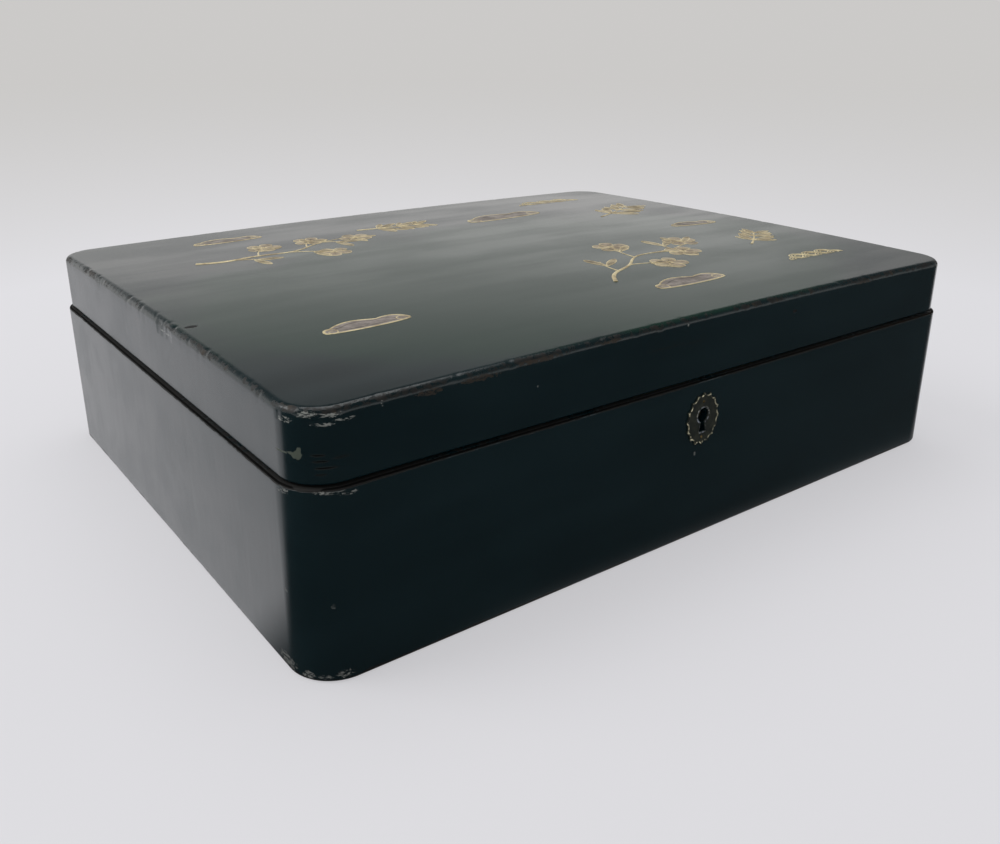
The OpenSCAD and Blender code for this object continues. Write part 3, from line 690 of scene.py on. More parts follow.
def blossom(relief, place, size, angle):
    """Five petals round a small ring"""
    for k in range(5):
        turn = angle + 72 * k
        start = Vector(place) + Matrix.Rotation(math.radians(turn), 2) @ Vector((0.16 * size, 0))
        relief.shape(placed(petal_outline(0.42, 0.8), start, turn, size * 0.84), "petal", 0.5)
        relief.line(placed([(0.1, 0), (0.3, 0.02), (0.5, 0)], start, turn, size * 0.8), 0.35, tone="dark")
    ring = [(math.cos(k * math.pi / 6), math.sin(k * math.pi / 6)) for k in range(12)]
    relief.line(placed(ring, place, 0, 0.14 * size), 0.6, True)


def lance_leaf(relief, place, length, angle):
    """A narrow pointed leaf with a rib"""
    relief.shape(placed(petal_outline(0.13, 1.4), place, angle, length), "leaf", 0.5)
    rib = placed([(0.08, 0), (0.4, 0.01), (0.85, 0)], place, angle, length)
    relief.line(rib, 0.35, tone="dark", taper=0.5)


# Twigs of a branch: share of the branch's length, side, length, and whether a blossom ends it
TWIGS = (
    (0.2, 1, 0.2, False),
    (0.34, -1, 0.22, True),
    (0.52, 1, 0.26, True),
    (0.68, -1, 0.18, True),
    (0.82, 1, 0.15, False),
    (0.99, 1, 0.07, True),
)


def blossom_branch(relief, place, size, angle, flip=1):
    """A bent branch with twigs, blossoms and leaves"""
    shares = [t / 40 for t in range(41)]
    spine = [(t, flip * (0.1 * math.sin(3.4 * t) + 0.02 * math.sin(14 * t))) for t in shares]
    relief.line(placed(spine, place, angle, size), 1.7, taper=0.75)
    for share, side, length, flower in TWIGS:
        root = placed([spine[round(share * 40)]], place, angle, size)[0]
        lean = angle + side * flip * 48
        twig = [(t / 8, 0.1 * math.sin(2.5 * t / 8)) for t in range(9)]
        relief.line(placed(twig, root, lean, length * size), 0.8, taper=0.6)
        tip = placed([(1, 0.06)], root, lean, length * size)[0]
        if flower:
            blossom(relief, tip, 0.1 * size, lean)
        fork = placed([(0.55, 0.05)], root, lean, length * size)[0]
        for turn in (-38, 24):
            lance_leaf(relief, fork, 0.16 * size, lean + turn)


def leaf_spray(relief, place, size, angle):
    """A jointed stem with drooping lance leaves"""
    stem = [(t / 20, 0.12 * (t / 20) ** 2) for t in range(21)]
    relief.line(placed(stem, place, angle, size), 1.1, taper=0.5)
    for share in (0.28, 0.58, 0.86):
        joint = placed([stem[round(share * 20)]], place, angle, size)[0]
        for turn, length in ((-62, 0.34), (-34, 0.42), (38, 0.4), (66, 0.3)):
            lance_leaf(relief, joint, length * size * (1.15 - 0.4 * share), angle + turn)


def drifting_cloud(relief, place, width, angle=0.0):
    """A flat-bottomed cloud with a lobed top, contour lines and a curl at each end"""
    outline = []
    for k in range(56):
        turn = 2 * math.pi * k / 56
        lobes = 0.8 + 0.4 * abs(math.sin(2.5 * turn))
        height = 0.2 * math.sin(turn) ** 0.7 * lobes if math.sin(turn) > 0 else 0.06 * math.sin(turn)
        outline.append((0.5 * math.cos(turn), height))
    relief.shape(placed(outline, place, angle, width), "mauve", 0.8)
    inner = [(0.72 * x, 0.03 + 0.6 * y) for x, y in outline]
    relief.line(placed(inner, place, angle, width), 0.45, True, tone="dark")
    for side in (-1, 1):
        curl = []
        for t in range(22):
            radius, turn = 0.09 - 0.0035 * t, 0.42 * t
            curl.append((side * (0.42 + radius * math.cos(turn)), 0.02 + radius * math.sin(turn)))
        relief.line(placed(curl, place, angle, width), 0.7, taper=0.6)


def wave_row(relief, place, width, angle=0.0):
    """Overlapping waves of nested arcs"""
    for row, count in ((0, 4), (1, 3)):
        for k in range(count):
            centre = (k - (count - 1) / 2, row * 0.42)
            for radius in (0.5, 0.36, 0.2):
                arc = []
                for t in range(13):
                    turn = math.pi * t / 12
                    across, up = radius * math.cos(turn), radius * 0.8 * math.sin(turn)
                    arc.append((centre[0] + across, centre[1] + up))
                relief.line(placed(arc, place, angle, width / 4), 0.6)


def lid_relief():
    """The whole design, with places and sizes in millimetres and turns in degrees"""
    relief = Relief()
    blossom_branch(relief, (2, -68), 78, 24)
    leaf_spray(relief, (98, -52), 30, 32)
    drifting_cloud(relief, (26, -84), 34)
    drifting_cloud(relief, (-98, -62), 30)
    wave_row(relief, (104, -82), 34)
    blossom_branch(relief, (-112, 52), 72, 8, -1)
    leaf_spray(relief, (-28, 74), 34, -12)
    drifting_cloud(relief, (-84, 88), 30)
    drifting_cloud(relief, (48, 60), 44, 4)
    leaf_spray(relief, (88, 34), 40, 22)
    wave_row(relief, (96, 84), 40)
    drifting_cloud(relief, (112, -6), 26, -6)
    return relief


def relief_line_mesh(relief, tone, rise):
    """Low rounded cords along the design's lines, laid on the crown"""
    curve = bpy.data.curves.new("relief", "CURVE")
    curve.dimensions = "3D"
    curve.bevel_depth = MM
    curve.bevel_resolution = 2
    curve.use_fill_caps = True
    for points, width, closed, line_tone, taper in relief.lines:
        if line_tone != tone:
            continue
        spline = curve.splines.new("POLY")
        spline.points.add(len(points) - 1)
        spline.use_cyclic_u = closed
        for k, (point, place) in enumerate(zip(spline.points, points)):
            point.co = (place[0] * MM, place[1] * MM, 0, 1)
            point.radius = width / 2 * (1 - taper * k / len(points))
    drawn = bpy.data.objects.new("relief", curve)
    mesh = bpy.data.meshes.new_from_object(drawn)
    bpy.data.objects.remove(drawn)
    bm = bmesh.new()
    bm.from_mesh(mesh)
    bmesh.ops.remove_doubles(bm, verts=bm.verts, dist=0.001 * MM)
    for vert in bm.verts:
        lift = LINE_HEIGHT * vert.co.z + LINE_LIFT
        vert.co.z = min(PEAK_Z, crown_height(vert.co.x, vert.co.y, rise) + lift)
    return bm


def relief_fill_mesh(relief, tone, rise):
    """Flat shapes of the design, slightly raised"""
    bm = bmesh.new()
    for points, fill_tone in relief.fills:
        if fill_tone != tone:
            continue
        ring = bmesh.ops.create_circle(bm, cap_ends=True, segments=len(points), radius=1.0)["verts"]
        for vert, place in zip(ring, points):
            vert.co = (place[0] * MM, place[1] * MM, 0)
        raised = bmesh.ops.extrude_face_region(bm, geom=[ring[0].link_faces[0]])
        for vert in ring:
            vert.co.z = crown_height(vert.co.x, vert.co.y, rise) - SHAPE_HEIGHT
        for vert in verts_of(raised):
            vert.co.z = min(PEAK_Z, crown_height(vert.co.x, vert.co.y, rise) + SHAPE_HEIGHT)
    bmesh.ops.triangulate(bm, faces=[face for face in bm.faces if len(face.verts) > 4])
    bmesh.ops.recalc_face_normals(bm, faces=bm.faces)
    return bm


# Materials


class Nodes:
    """Builds the node tree of a material or a world"""

    def __init__(self, owner):
        owner.use_nodes = True
        self.tree = owner.node_tree
        self.tree.nodes.clear()
        self.coords = self.add("ShaderNodeTexCoord").outputs["Object"]

    def add(self, kind, **values):
        node = self.tree.nodes.new(kind)
        for key, value in values.items():
            setattr(node, key, value)
        return node

    def link(self, source, target):
        self.tree.links.new(source, target)

    def feed(self, socket, value):
        if isinstance(value, bpy.types.NodeSocket):
            self.link(value, socket)
        else:
            socket.default_value = value

    def feed_colour(self, socket, value):
        self.feed(socket, value if isinstance(value, bpy.types.NodeSocket) else (*value, 1.0))

    def scaled(self, size):
        """Object coordinates divided by a size, so that one unit is that size"""
        node = self.add("ShaderNodeMapping", vector_type="POINT")
        self.link(self.coords, node.inputs["Vector"])
        sizes = size if hasattr(size, "__len__") else (size,) * 3
        node.inputs["Scale"].default_value = [1 / part for part in sizes]
        return node.outputs[0]

    def noise(self, size, detail, roughness):
        node = self.add("ShaderNodeTexNoise")
        self.link(self.scaled(size), node.inputs["Vector"])
        node.inputs["Scale"].default_value = 1.0
        node.inputs["Detail"].default_value = detail
        node.inputs["Roughness"].default_value = roughness
        return node.outputs["Fac"]

    def ramp(self, value, low, high, out_low=0.0, out_high=1.0, smooth=True):
        node = self.add("ShaderNodeMapRange", interpolation_type="SMOOTHSTEP" if smooth else "LINEAR")
        self.feed(node.inputs["Value"], value)
        limits = {"From Min": low, "From Max": high, "To Min": out_low, "To Max": out_high}
        for name, number in limits.items():
            node.inputs[name].default_value = number
        return node.outputs[0]

    def math(self, operation, a, b):
        node = self.add("ShaderNodeMath", operation=operation)
        self.feed(node.inputs[0], a)
        self.feed(node.inputs[1], b)
        return node.outputs[0]

    def plus(self, a, b):
        return self.math("ADD", a, b)

    def minus(self, a, b):
        return self.math("SUBTRACT", a, b)

    def times(self, a, b):
        return self.math("MULTIPLY", a, b)

    def larger(self, a, b):
        return self.math("MAXIMUM", a, b)

    def mix(self, factor, a, b):
        """Blends two colours"""
        node = self.add("ShaderNodeMix", data_type="RGBA")
        self.feed(node.inputs[0], factor)
        for socket, value in ((node.inputs[6], a), (node.inputs[7], b)):
            self.feed_colour(socket, value)
        return node.outputs[2]

    def blend(self, factor, a, b):
        """Blends two numbers"""
        node = self.add("ShaderNodeMix", data_type="FLOAT")
        for socket, value in ((node.inputs[0], factor), (node.inputs[2], a), (node.inputs[3], b)):
            self.feed(socket, value)
        return node.outputs[0]

    def attribute(self, name):
        return self.add("ShaderNodeAttribute", attribute_name=name).outputs["Fac"]

    def bump(self, height, distance, strength=1.0, below=None):
        node = self.add("ShaderNodeBump")
        self.feed(node.inputs["Height"], height)
        node.inputs["Distance"].default_value = distance
        node.inputs["Strength"].default_value = strength
        if below is not None:
            self.link(below, node.inputs["Normal"])
        return node.outputs[0]

    def axes(self, vector=None):
        """X, Y and Z of a vector, which is the place on the object unless given"""
        split = self.add("ShaderNodeSeparateXYZ")
        self.link(self.coords if vector is None else vector, split.inputs[0])
        return split.outputs

    def shade_mix(self, factor, a, b):
        """Blends two shaders"""
        node = self.add("ShaderNodeMixShader")
        self.feed(node.inputs[0], factor)
        self.link(a, node.inputs[1])
        self.link(b, node.inputs[2])
        return node.outputs[0]

    def seen_directly(self):
        """1 for the camera's rays, mirror rays and rays through glass"""
        path = self.add("ShaderNodeLightPath").outputs
        seen = self.larger(path["Is Camera Ray"], path["Is Glossy Ray"])
        return self.larger(seen, path["Is Transmission Ray"])


class Paint(Nodes):
    """A material with one Principled shader"""

    def __init__(self, name):
        self.material = bpy.data.materials.new(name)
        super().__init__(self.material)
        self.shader = self.add("ShaderNodeBsdfPrincipled")
        self.output = self.add("ShaderNodeOutputMaterial")
        self.link(self.shader.outputs[0], self.output.inputs["Surface"])

    def finish(self, colour, roughness, normal=None, metallic=0.0):
        self.feed_colour(self.shader.inputs["Base Color"], colour)
        self.feed(self.shader.inputs["Roughness"], roughness)
        self.feed(self.shader.inputs["Metallic"], metallic)
        if normal is not None:
            self.link(normal, self.shader.inputs["Normal"])
        return self.material


def spot(nodes, place, size, ragged=0.5, detail=1.5):
    """Mask of a ragged spot round a place, both in millimetres"""
    centred = nodes.add("ShaderNodeVectorMath", operation="SUBTRACT")
    nodes.link(nodes.coords, centred.inputs[0])
    centred.inputs[1].default_value = [part * MM for part in place]
    scaled = nodes.add("ShaderNodeVectorMath", operation="DIVIDE")
    nodes.link(centred.outputs[0], scaled.inputs[0])
    scaled.inputs[1].default_value = [part * MM for part in size]
    length = nodes.add("ShaderNodeVectorMath", operation="LENGTH")
    nodes.link(scaled.outputs[0], length.inputs[0])
    torn = nodes.math("MULTIPLY_ADD", nodes.noise(detail * MM, 3, 0.6), ragged)
    torn.node.inputs[2].default_value = -ragged / 2
    return nodes.ramp(nodes.plus(length.outputs["Value"], torn), 1.0, 0.75)


def spots(nodes, marks, ragged=0.5, detail=1.5, broken=0.0):
    """Mask of several spots; a broken mask is only left where a fine noise is high"""
    mask = None
    for place, size in marks:
        one = spot(nodes, place, size, ragged, detail)
        mask = one if mask is None else nodes.larger(mask, one)
    if broken:
        fine = nodes.noise((1.6 * MM, 1.6 * MM, 0.5 * MM), 3, 0.7)
        mask = nodes.times(mask, nodes.ramp(fine, broken, broken + 0.12))
    return mask


def frayed(nodes, mask, *frays):
    """A mask with a ragged border, made by noises, each with its strength"""
    for fray, strength in frays:
        mask = nodes.plus(mask, nodes.times(nodes.minus(fray, 0.5), strength))
    return mask


def height_mask(nodes, low, high):
    """Rises from 0 to 1 between two heights, in millimetres"""
    return nodes.ramp(nodes.axes()["Z"], low * MM, high * MM)


def wall_waves(nodes, below):
    """Slight upright waves in the walls, above which the lid's top is smooth"""
    waves = nodes.noise((2.4 * MM, 2.4 * MM, 50 * MM), 2, 0.5)
    walls = height_mask(nodes, 79, 77.5)
    return nodes.bump(nodes.times(waves, walls), 0.025 * MM, 1.0, below)


def sound_lacquer(name, lacquer, colour):
    """A new paint, and the colour, roughness and height of its lacquer where it isn't worn"""
    nodes = Paint(name)
    nodes.shader.inputs["IOR"].default_value = lacquer.ior
    clouds = nodes.noise((70 * MM, 45 * MM, 40 * MM), 3, 0.5)
    streaks = nodes.noise((160 * MM, 16 * MM, 16 * MM), 3, 0.55)
    fine = nodes.noise(1.0 * MM, 3, 0.6)
    both = nodes.plus(nodes.times(clouds, 0.55), nodes.times(streaks, 0.45))
    shade = nodes.mix(nodes.ramp(both, 0.38, 0.62), colour, [part * 1.35 for part in colour])
    rough = nodes.ramp(both, 0.38, 0.62, lacquer.roughness - 0.035, lacquer.roughness + 0.045)
    rough = nodes.plus(rough, nodes.ramp(fine, 0.3, 0.7, -0.012, 0.012))
    return nodes, shade, rough, both


def lid_lacquer(lacquer):
    """Black lacquer, faded in the middle of the top, rubbed along its edge, cracked with painted shade and
    highlights at the cracks, and chipped, with painted glints among the light grey chips
    """
    nodes, shade, rough, both = sound_lacquer("lid_lacquer", lacquer, lacquer.black)
    faded = spot(nodes, (0, -38, 83), (185, 104, 3.5), 0.5, 40)
    shade = nodes.mix(faded, shade, lacquer.faded)
    ragged = nodes.noise(2.4 * MM, 4, 0.65)
    coarse = nodes.noise(14 * MM, 3, 0.5)
    near = frayed(nodes, nodes.attribute("top_edge"), (ragged, 0.9), (coarse, 0.7))
    band = nodes.ramp(near, 0.93, 1.13)
    patches = nodes.ramp(nodes.noise(7 * MM, 4, 0.6), 0.56, 0.66)
    rubbed = nodes.mix(patches, lacquer.rubbed, lacquer.bare)
    shade = nodes.mix(band, shade, rubbed)
    rough = nodes.blend(band, rough, nodes.ramp(ragged, 0.35, 0.65, 0.4, 0.62))
    brown = spots(nodes, LID_BROWN, 2.2, 1.6, 0.4)
    shade = nodes.mix(brown, shade, lacquer.bare)
    rough = nodes.blend(brown, rough, 0.6)
    # Dark cracks with painted shade in their grooves, and beside them wider bands of painted highlight
    cracks = spots(nodes, LID_CRACKS, 0.5, 1.2)
    wider = [(place, (*size[:2], 2.4 * size[2])) for place, size in LID_CRACKS]
    lip_highlights = spots(nodes, wider, 0.5, 1.2)
    shade = nodes.mix(lip_highlights, shade, lacquer.crack_lip_highlight)
    shade = nodes.mix(cracks, shade, lacquer.crack)
    chips = spots(nodes, LID_CHIPS, 1.4, 1.1)
    shade = nodes.mix(chips, shade, lacquer.chipped)
    rough = nodes.blend(chips, rough, 0.6)
    # Light grey chips with painted glints in them
    pale_chips_and_glints = spots(nodes, LID_PALE_CHIPS_AND_GLINTS, 1.6, 0.7, 0.46)
    shade = nodes.mix(pale_chips_and_glints, shade, lacquer.pale_chips_and_glints)
    dents = spots(nodes, LID_DENTS, 0.3, 2)
    shade = nodes.mix(dents, shade, lacquer.dent)
    rough = nodes.blend(dents, rough, 0.7)
    relief = nodes.times(band, nodes.minus(ragged, 1.2))
    for hollow in (chips, dents, cracks):
        relief = nodes.minus(relief, hollow)
    normal = wall_waves(nodes, nodes.bump(both, 0.3 * MM, 0.35))
    normal = nodes.bump(relief, 0.04 * MM, 0.8, normal)
    return nodes.finish(shade, rough, normal)


def base_lacquer(lacquer):
    """Black lacquer, rubbed at the rim and the foot, with light grey chips and painted glints"""
    nodes, shade, rough, both = sound_lacquer("base_lacquer", lacquer, lacquer.black)
    ragged = nodes.noise(2.4 * MM, 4, 0.65)
    coarse = nodes.noise(18 * MM, 3, 0.5)
    rim = height_mask(nodes, 57.6, 58.6)
    foot = height_mask(nodes, 2.6, 0.6)
    near = frayed(nodes, nodes.larger(rim, foot), (ragged, 1.0), (coarse, 1.1))
    band = nodes.ramp(near, 0.75, 1.0)
    shade = nodes.mix(band, shade, lacquer.rubbed)
    rough = nodes.blend(band, rough, 0.75)
    # Light grey chips and scuffs with painted glints in them
    pale_chips_and_glints = spots(nodes, BASE_PALE_CHIPS_AND_GLINTS, 1.6, 0.7, 0.46)
    shade = nodes.mix(pale_chips_and_glints, shade, lacquer.pale_chips_and_glints)
    rough = nodes.blend(pale_chips_and_glints, rough, 0.6)
    normal = wall_waves(nodes, nodes.bump(both, 0.3 * MM, 0.35))
    relief = nodes.times(band, nodes.minus(ragged, 1.2))
    normal = nodes.bump(nodes.minus(relief, pale_chips_and_glints), 0.2 * MM, 1.0, normal)
    return nodes.finish(shade, rough, normal)


def rim_shade_and_stains(lacquer):
    """Painted shade on the ledge under the lid, near-black and dull, with brown stains towards the right"""
    nodes = Paint("rim_shade_and_stains")
    # Little gloss, so that the painted shade stays dark
    nodes.shader.inputs["Specular IOR Level"].default_value = 0.08
    right = nodes.ramp(nodes.axes()["X"], 0.0, HALF_W)
    patches = nodes.noise(4 * MM, 4, 0.65)
    brown = nodes.times(right, nodes.ramp(patches, 0.35, 0.65))
    shade = nodes.mix(brown, lacquer.ledge_shade, lacquer.brown_dirt)
    rough = nodes.ramp(patches, 0.3, 0.7, 0.7, 0.9)
    return nodes.finish(shade, rough, nodes.bump(patches, 0.08 * MM, 0.6))


def bottom_board_paint(lacquer):
    """Inner lacquer above and rubbed lacquer underneath"""
    nodes, shade, rough, both = sound_lacquer("bottom_lacquer", lacquer, lacquer.inner)
    under = height_mask(nodes, 3.2, 2.8)
    scuffs = nodes.ramp(nodes.noise((3 * MM, 26 * MM, 5 * MM), 5, 0.7), 0.56, 0.72)
    bare = nodes.mix(scuffs, lacquer.rubbed, lacquer.bare)
    shade = nodes.mix(under, shade, bare)
    rough = nodes.blend(under, nodes.plus(rough, 0.12), 0.6)
    return nodes.finish(shade, rough, nodes.bump(both, 0.3 * MM, 0.5))


def plain_lacquer(name, lacquer, colour):
    """Duller lacquer without wear, for the inside and the underside"""
    nodes, shade, rough, both = sound_lacquer(name, lacquer, colour)
    return nodes.finish(shade, nodes.plus(rough, 0.12), nodes.bump(both, 0.3 * MM, 0.5))


def relief_paint(name, bright, worn, metallic):
    """Gold or colour of the raised decoration, worn in patches"""
    nodes = Paint(name)
    wear = nodes.noise(6 * MM, 5, 0.7)
    grain = nodes.noise(0.6 * MM, 3, 0.6)
    shade = nodes.mix(nodes.ramp(wear, 0.40, 0.66), bright, worn)
    shade = nodes.mix(nodes.ramp(grain, 0.55, 0.8), shade, [part * 0.5 for part in bright])
    rough = nodes.ramp(wear, 0.35, 0.65, 0.38, 0.6)
    return nodes.finish(shade, rough, nodes.bump(grain, 0.03 * MM, 0.6), metallic)


def aged_metal(name, colour, tarnish, roughness, spread=0.5):
    """Brushed metal with darker, duller tarnish in patches"""
    nodes = Paint(name)
    clouds = nodes.noise(7 * MM, 5, 0.65)
    grain = nodes.noise(0.5 * MM, 3, 0.6)
    brushed = nodes.noise((9 * MM, 0.25 * MM, 0.25 * MM), 2, 0.5)
    both = nodes.plus(nodes.times(clouds, 0.75), nodes.times(grain, 0.25))
    tarnished = nodes.ramp(both, spread, spread + 0.14)
    shade = nodes.mix(tarnished, colour, tarnish)
    rough = nodes.blend(tarnished, roughness, roughness + 0.22)
    rough = nodes.plus(rough, nodes.ramp(brushed, 0.3, 0.7, -0.05, 0.05))
    normal = nodes.bump(brushed, 0.02 * MM, 0.5)
    return nodes.finish(shade, rough, nodes.bump(both, 0.06 * MM, 0.6, normal), 1.0)


def escutcheon_paint(metal):
    """Dark field, bright broken border with painted light stronger on its left, and a painted highlight on
    the lip round the keyhole
    """
    nodes = Paint("tarnished_plate")
    middle = (ESCUTCHEON[0] + ESCUTCHEON[1]) / 2
    front = ESCUTCHEON[0].y
    raised = nodes.ramp(nodes.axes()["Y"], front + 0.3 * MM, front + 0.1 * MM)
    broken = nodes.ramp(nodes.noise(1.3 * MM, 4, 0.7), 0.44, 0.6)
    bright = nodes.times(raised, broken)
    centre = KEYHOLE / MM
    # Painted highlight on the lip round the keyhole, reaching down to its foot
    lip = spot(nodes, (centre.x, front / MM, centre.z - 1.8), (3.9, 3.0, 6.2), 0.2, 1.0)
    border = nodes.mix(lip, metal.border, metal.lip)
    # Painted light: the bright border is lighter towards the left, where the light comes from
    left = nodes.ramp(nodes.axes()["X"], middle.x + 6 * MM, middle.x - 3 * MM, 0.4, 1.0)
    bright = nodes.times(bright, left)
    patches = nodes.noise(2.6 * MM, 4, 0.6)
    field = nodes.mix(nodes.ramp(patches, 0.35, 0.7), metal.field, metal.field_worn)
    shade = nodes.mix(bright, field, border)
    rough = nodes.blend(bright, 0.5, 0.3)
    normal = nodes.bump(patches, 0.08 * MM, 0.7)
    return nodes.finish(shade, rough, normal, nodes.blend(bright, 0.35, 0.45))


# Operators


class DEEDBOX_OT_stage(bpy.types.Operator):
    """Pale floor, soft room light and the camera"""

    bl_idname = "deed_box.stage"
    bl_label = "Stage"

    def execute(self, context):
        stage = context.scene.deed_box_stage
        context.scene.view_settings.view_transform = "Standard"
        self.floor(stage)
        self.world(context, stage)
        self.lamps()
        self.camera(context, stage)
        return {"FINISHED"}

    def floor(self, stage):
        bm = bmesh.new()
        bmesh.ops.create_circle(bm, cap_ends=True, segments=96, radius=4.0)
        mesh = bpy.data.meshes.new("floor")
        bm.to_mesh(mesh)
        bm.free()
        mesh.materials.append(self.floor_paint(stage))
        floor = bpy.data.objects.new("floor", mesh)
        floor.location.z = -0.05 * MM
        bpy.context.scene.collection.objects.link(floor)

    def floor_paint(self, stage):
        """A lit floor. The camera and reflections see it paler, and in reflections its front part is dark"""
        nodes = Paint("floor_paint")
        nodes.shader.inputs["Specular IOR Level"].default_value = 0.0
        material = nodes.finish(stage.floor, 0.9)
        place = nodes.axes()
        far = nodes.add("ShaderNodeVectorMath", operation="LENGTH")
        nodes.link(nodes.coords, far.inputs[0])
        away = nodes.ramp(nodes.math("DIVIDE", 1.0, far.outputs["Value"]), 2.4, 0.3, smooth=False)
        side = nodes.plus(place["Y"], nodes.times(place["X"], 0.6))
        beside = nodes.times(nodes.ramp(side, *FLOOR_LEFT), nodes.ramp(place["Y"], *FLOOR_FRONT))
        bright = nodes.blend(beside, stage.front_glow, stage.left_glow)
        mirrored = nodes.add("ShaderNodeLightPath").outputs["Is Glossy Ray"]
        glow = nodes.add("ShaderNodeEmission")
        nodes.link(nodes.mix(away, stage.floor_glow, stage.backdrop), glow.inputs["Color"])
        nodes.link(nodes.blend(mirrored, 1.0, bright), glow.inputs["Strength"])
        share = nodes.larger(nodes.blend(away, stage.glow_share, 1.0), mirrored)
        share = nodes.times(nodes.seen_directly(), share)
        mixed = nodes.shade_mix(share, nodes.shader.outputs[0], glow.outputs[0])
        nodes.link(mixed, nodes.output.inputs["Surface"])
        return material

    def world(self, context, stage):
        world = bpy.data.worlds.new("room")
        context.scene.world = world
        nodes = Nodes(world)
        output = nodes.add("ShaderNodeOutputWorld")
        seen, light = nodes.add("ShaderNodeBackground"), nodes.add("ShaderNodeBackground")
        seen.inputs["Color"].default_value = (*stage.backdrop, 1)
        light.inputs["Color"].default_value = (*stage.light, 1)
        light.inputs["Strength"].default_value = stage.ambient
        towards = nodes.axes(nodes.add("ShaderNodeTexCoord").outputs["Generated"])
        high = nodes.ramp(towards["Z"], *ROOM_HIGH, 1.0, stage.high_glow)
        overhead = nodes.ramp(towards["Z"], *ROOM_TOP, 1.0, stage.top_glow)
        right = nodes.ramp(towards["X"], *ROOM_RIGHT, 1.0, stage.right_glow)
        mirror = nodes.times(nodes.times(nodes.times(high, overhead), right), stage.room_glow)
        mirrored = nodes.add("ShaderNodeLightPath").outputs["Is Glossy Ray"]
        nodes.link(nodes.blend(mirrored, 1.0, mirror), seen.inputs["Strength"])
        mixed = nodes.shade_mix(nodes.seen_directly(), light.outputs[0], seen.outputs[0])
        nodes.link(mixed, output.inputs["Surface"])

    def lamps(self):
        for name, place, size, power in LAMPS:
            light = bpy.data.lights.new(name, "AREA")
            light.shape = "DISK"
            light.size = size
            light.energy = power
            lamp = bpy.data.objects.new(name, light)
            lamp.location = place
            lamp.rotation_euler = (-Vector(place)).to_track_quat("-Z", "Y").to_euler()
            bpy.context.scene.collection.objects.link(lamp)

    def camera(self, context, stage):
        across, along = math.sin(CAMERA_YAW), math.cos(CAMERA_YAW)
        level = math.cos(CAMERA_PITCH)
        forward = Vector((across * level, along * level, -math.sin(CAMERA_PITCH)))
        right = Vector((along, -across, 0))
        up = right.cross(forward)
        rolled_right = right * math.cos(CAMERA_ROLL) + up * math.sin(CAMERA_ROLL)
        rolled_up = up * math.cos(CAMERA_ROLL) - right * math.sin(CAMERA_ROLL)
        data = bpy.data.cameras.new("camera")
        data.lens = stage.lens
        data.sensor_width = SENSOR_WIDTH
        data.shift_y = CAMERA_SHIFT
        data.clip_start = 0.01
        camera = bpy.data.objects.new("camera", data)
        camera.matrix_world = Matrix((rolled_right, rolled_up, -forward)).transposed().to_4x4()
        camera.location = CAMERA_PLACE
        context.scene.collection.objects.link(camera)
        context.scene.camera = camera


class DEEDBOX_OT_base(bpy.types.Operator):
    """The base's four wall boards, with the recesses for the lock and the hinges"""

    bl_idname = "deed_box.base"
    bl_label = "Base boards"

    def execute(self, context):
        carcass, lacquer = context.scene.deed_box_carcass, context.scene.deed_box_lacquer
        inner = plain_lacquer("base_inner_lacquer", lacquer, lacquer.inner)
        # The third material paints shade on the ledge under the lid
        materials = [base_lacquer(lacquer), inner, rim_shade_and_stains(lacquer)]
        pieces = {}
        for side in SIDES:
            bm = board(side, carcass)
            line_inside(bm, HALF_W, HALF_D, carcass.board, True)
            name = f"base_{side}"
            pieces[side] = add_piece(bm, f"{name}_lacquered", materials, "base", [name])
        plate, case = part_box("lock_plate"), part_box("lock_case")
        works = bmesh.new()
        cutter_box(works, case[0], case[1] + Vector(CASE_SPARE))
        cut_away(pieces["front"], lock_cutter(plate, case), works, self.keyhole_cutter())
        mortises = bmesh.new()
        for leaf in ("hinge_left_base_leaf", "hinge_right_base_leaf"):
            leaf_mortise(mortises, leaf, BASE_H - LEAF_T, BASE_H + PAST_RIM)
        cut_away(pieces["back"], mortises)
        return {"FINISHED"}

    def keyhole_cutter(self):
        cutter = bmesh.new()
        made = bmesh.ops.create_circle(cutter, cap_ends=True, segments=96, radius=1.0)
        for vert in made["verts"]:
            vert.co = keyhole_point(Vector((vert.co.x, 0, vert.co.y)), -HALF_D - MM)
        raised = bmesh.ops.extrude_face_region(cutter, geom=cutter.faces[:])
        bmesh.ops.translate(cutter, vec=(0, 6 * MM, 0), verts=verts_of(raised))
        return cutter


class DEEDBOX_OT_lid(bpy.types.Operator):
    """The lid's four wall boards and its crowned top"""

    bl_idname = "deed_box.lid"
    bl_label = "Lid boards"

    def execute(self, context):
        carcass, lacquer = context.scene.deed_box_carcass, context.scene.deed_box_lacquer
        inner = plain_lacquer("lid_inner_lacquer", lacquer, lacquer.inner)
        materials = [lid_lacquer(lacquer), inner]
        pieces = {}
        for side in SIDES:
            bm = board(side, carcass, lid=True)
            line_inside(bm, LID_HALF_W, LID_HALF_D, carcass.board)
            wear_lid(bm, carcass)
            name = f"lid_{side}"
            pieces[side] = add_piece(bm, f"{name}_lacquered", materials, "lid", [name])
        bm = lid_top_mesh(carcass)
        for face in bm.faces:
            face.material_index = int(all(vert.co.z < LID_TOP_Z + 0.01 * MM for vert in face.verts))
        wear_lid(bm, carcass)
        add_piece(bm, "lid_top_lacquered", materials, "lid", ["lid_top"])
        mortises = bmesh.new()
        for leaf in ("hinge_left_lid_leaf", "hinge_right_lid_leaf"):
            leaf_mortise(mortises, leaf, LID_Z - PAST_RIM, LID_Z + LEAF_T)
        cut_away(pieces["back"], mortises)
        low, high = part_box("link_plate")
        recess = bmesh.new()
        cutter_box(recess, (low.x, low.y, LID_Z - MM), high)
        cut_away(pieces["front"], recess)
        return {"FINISHED"}


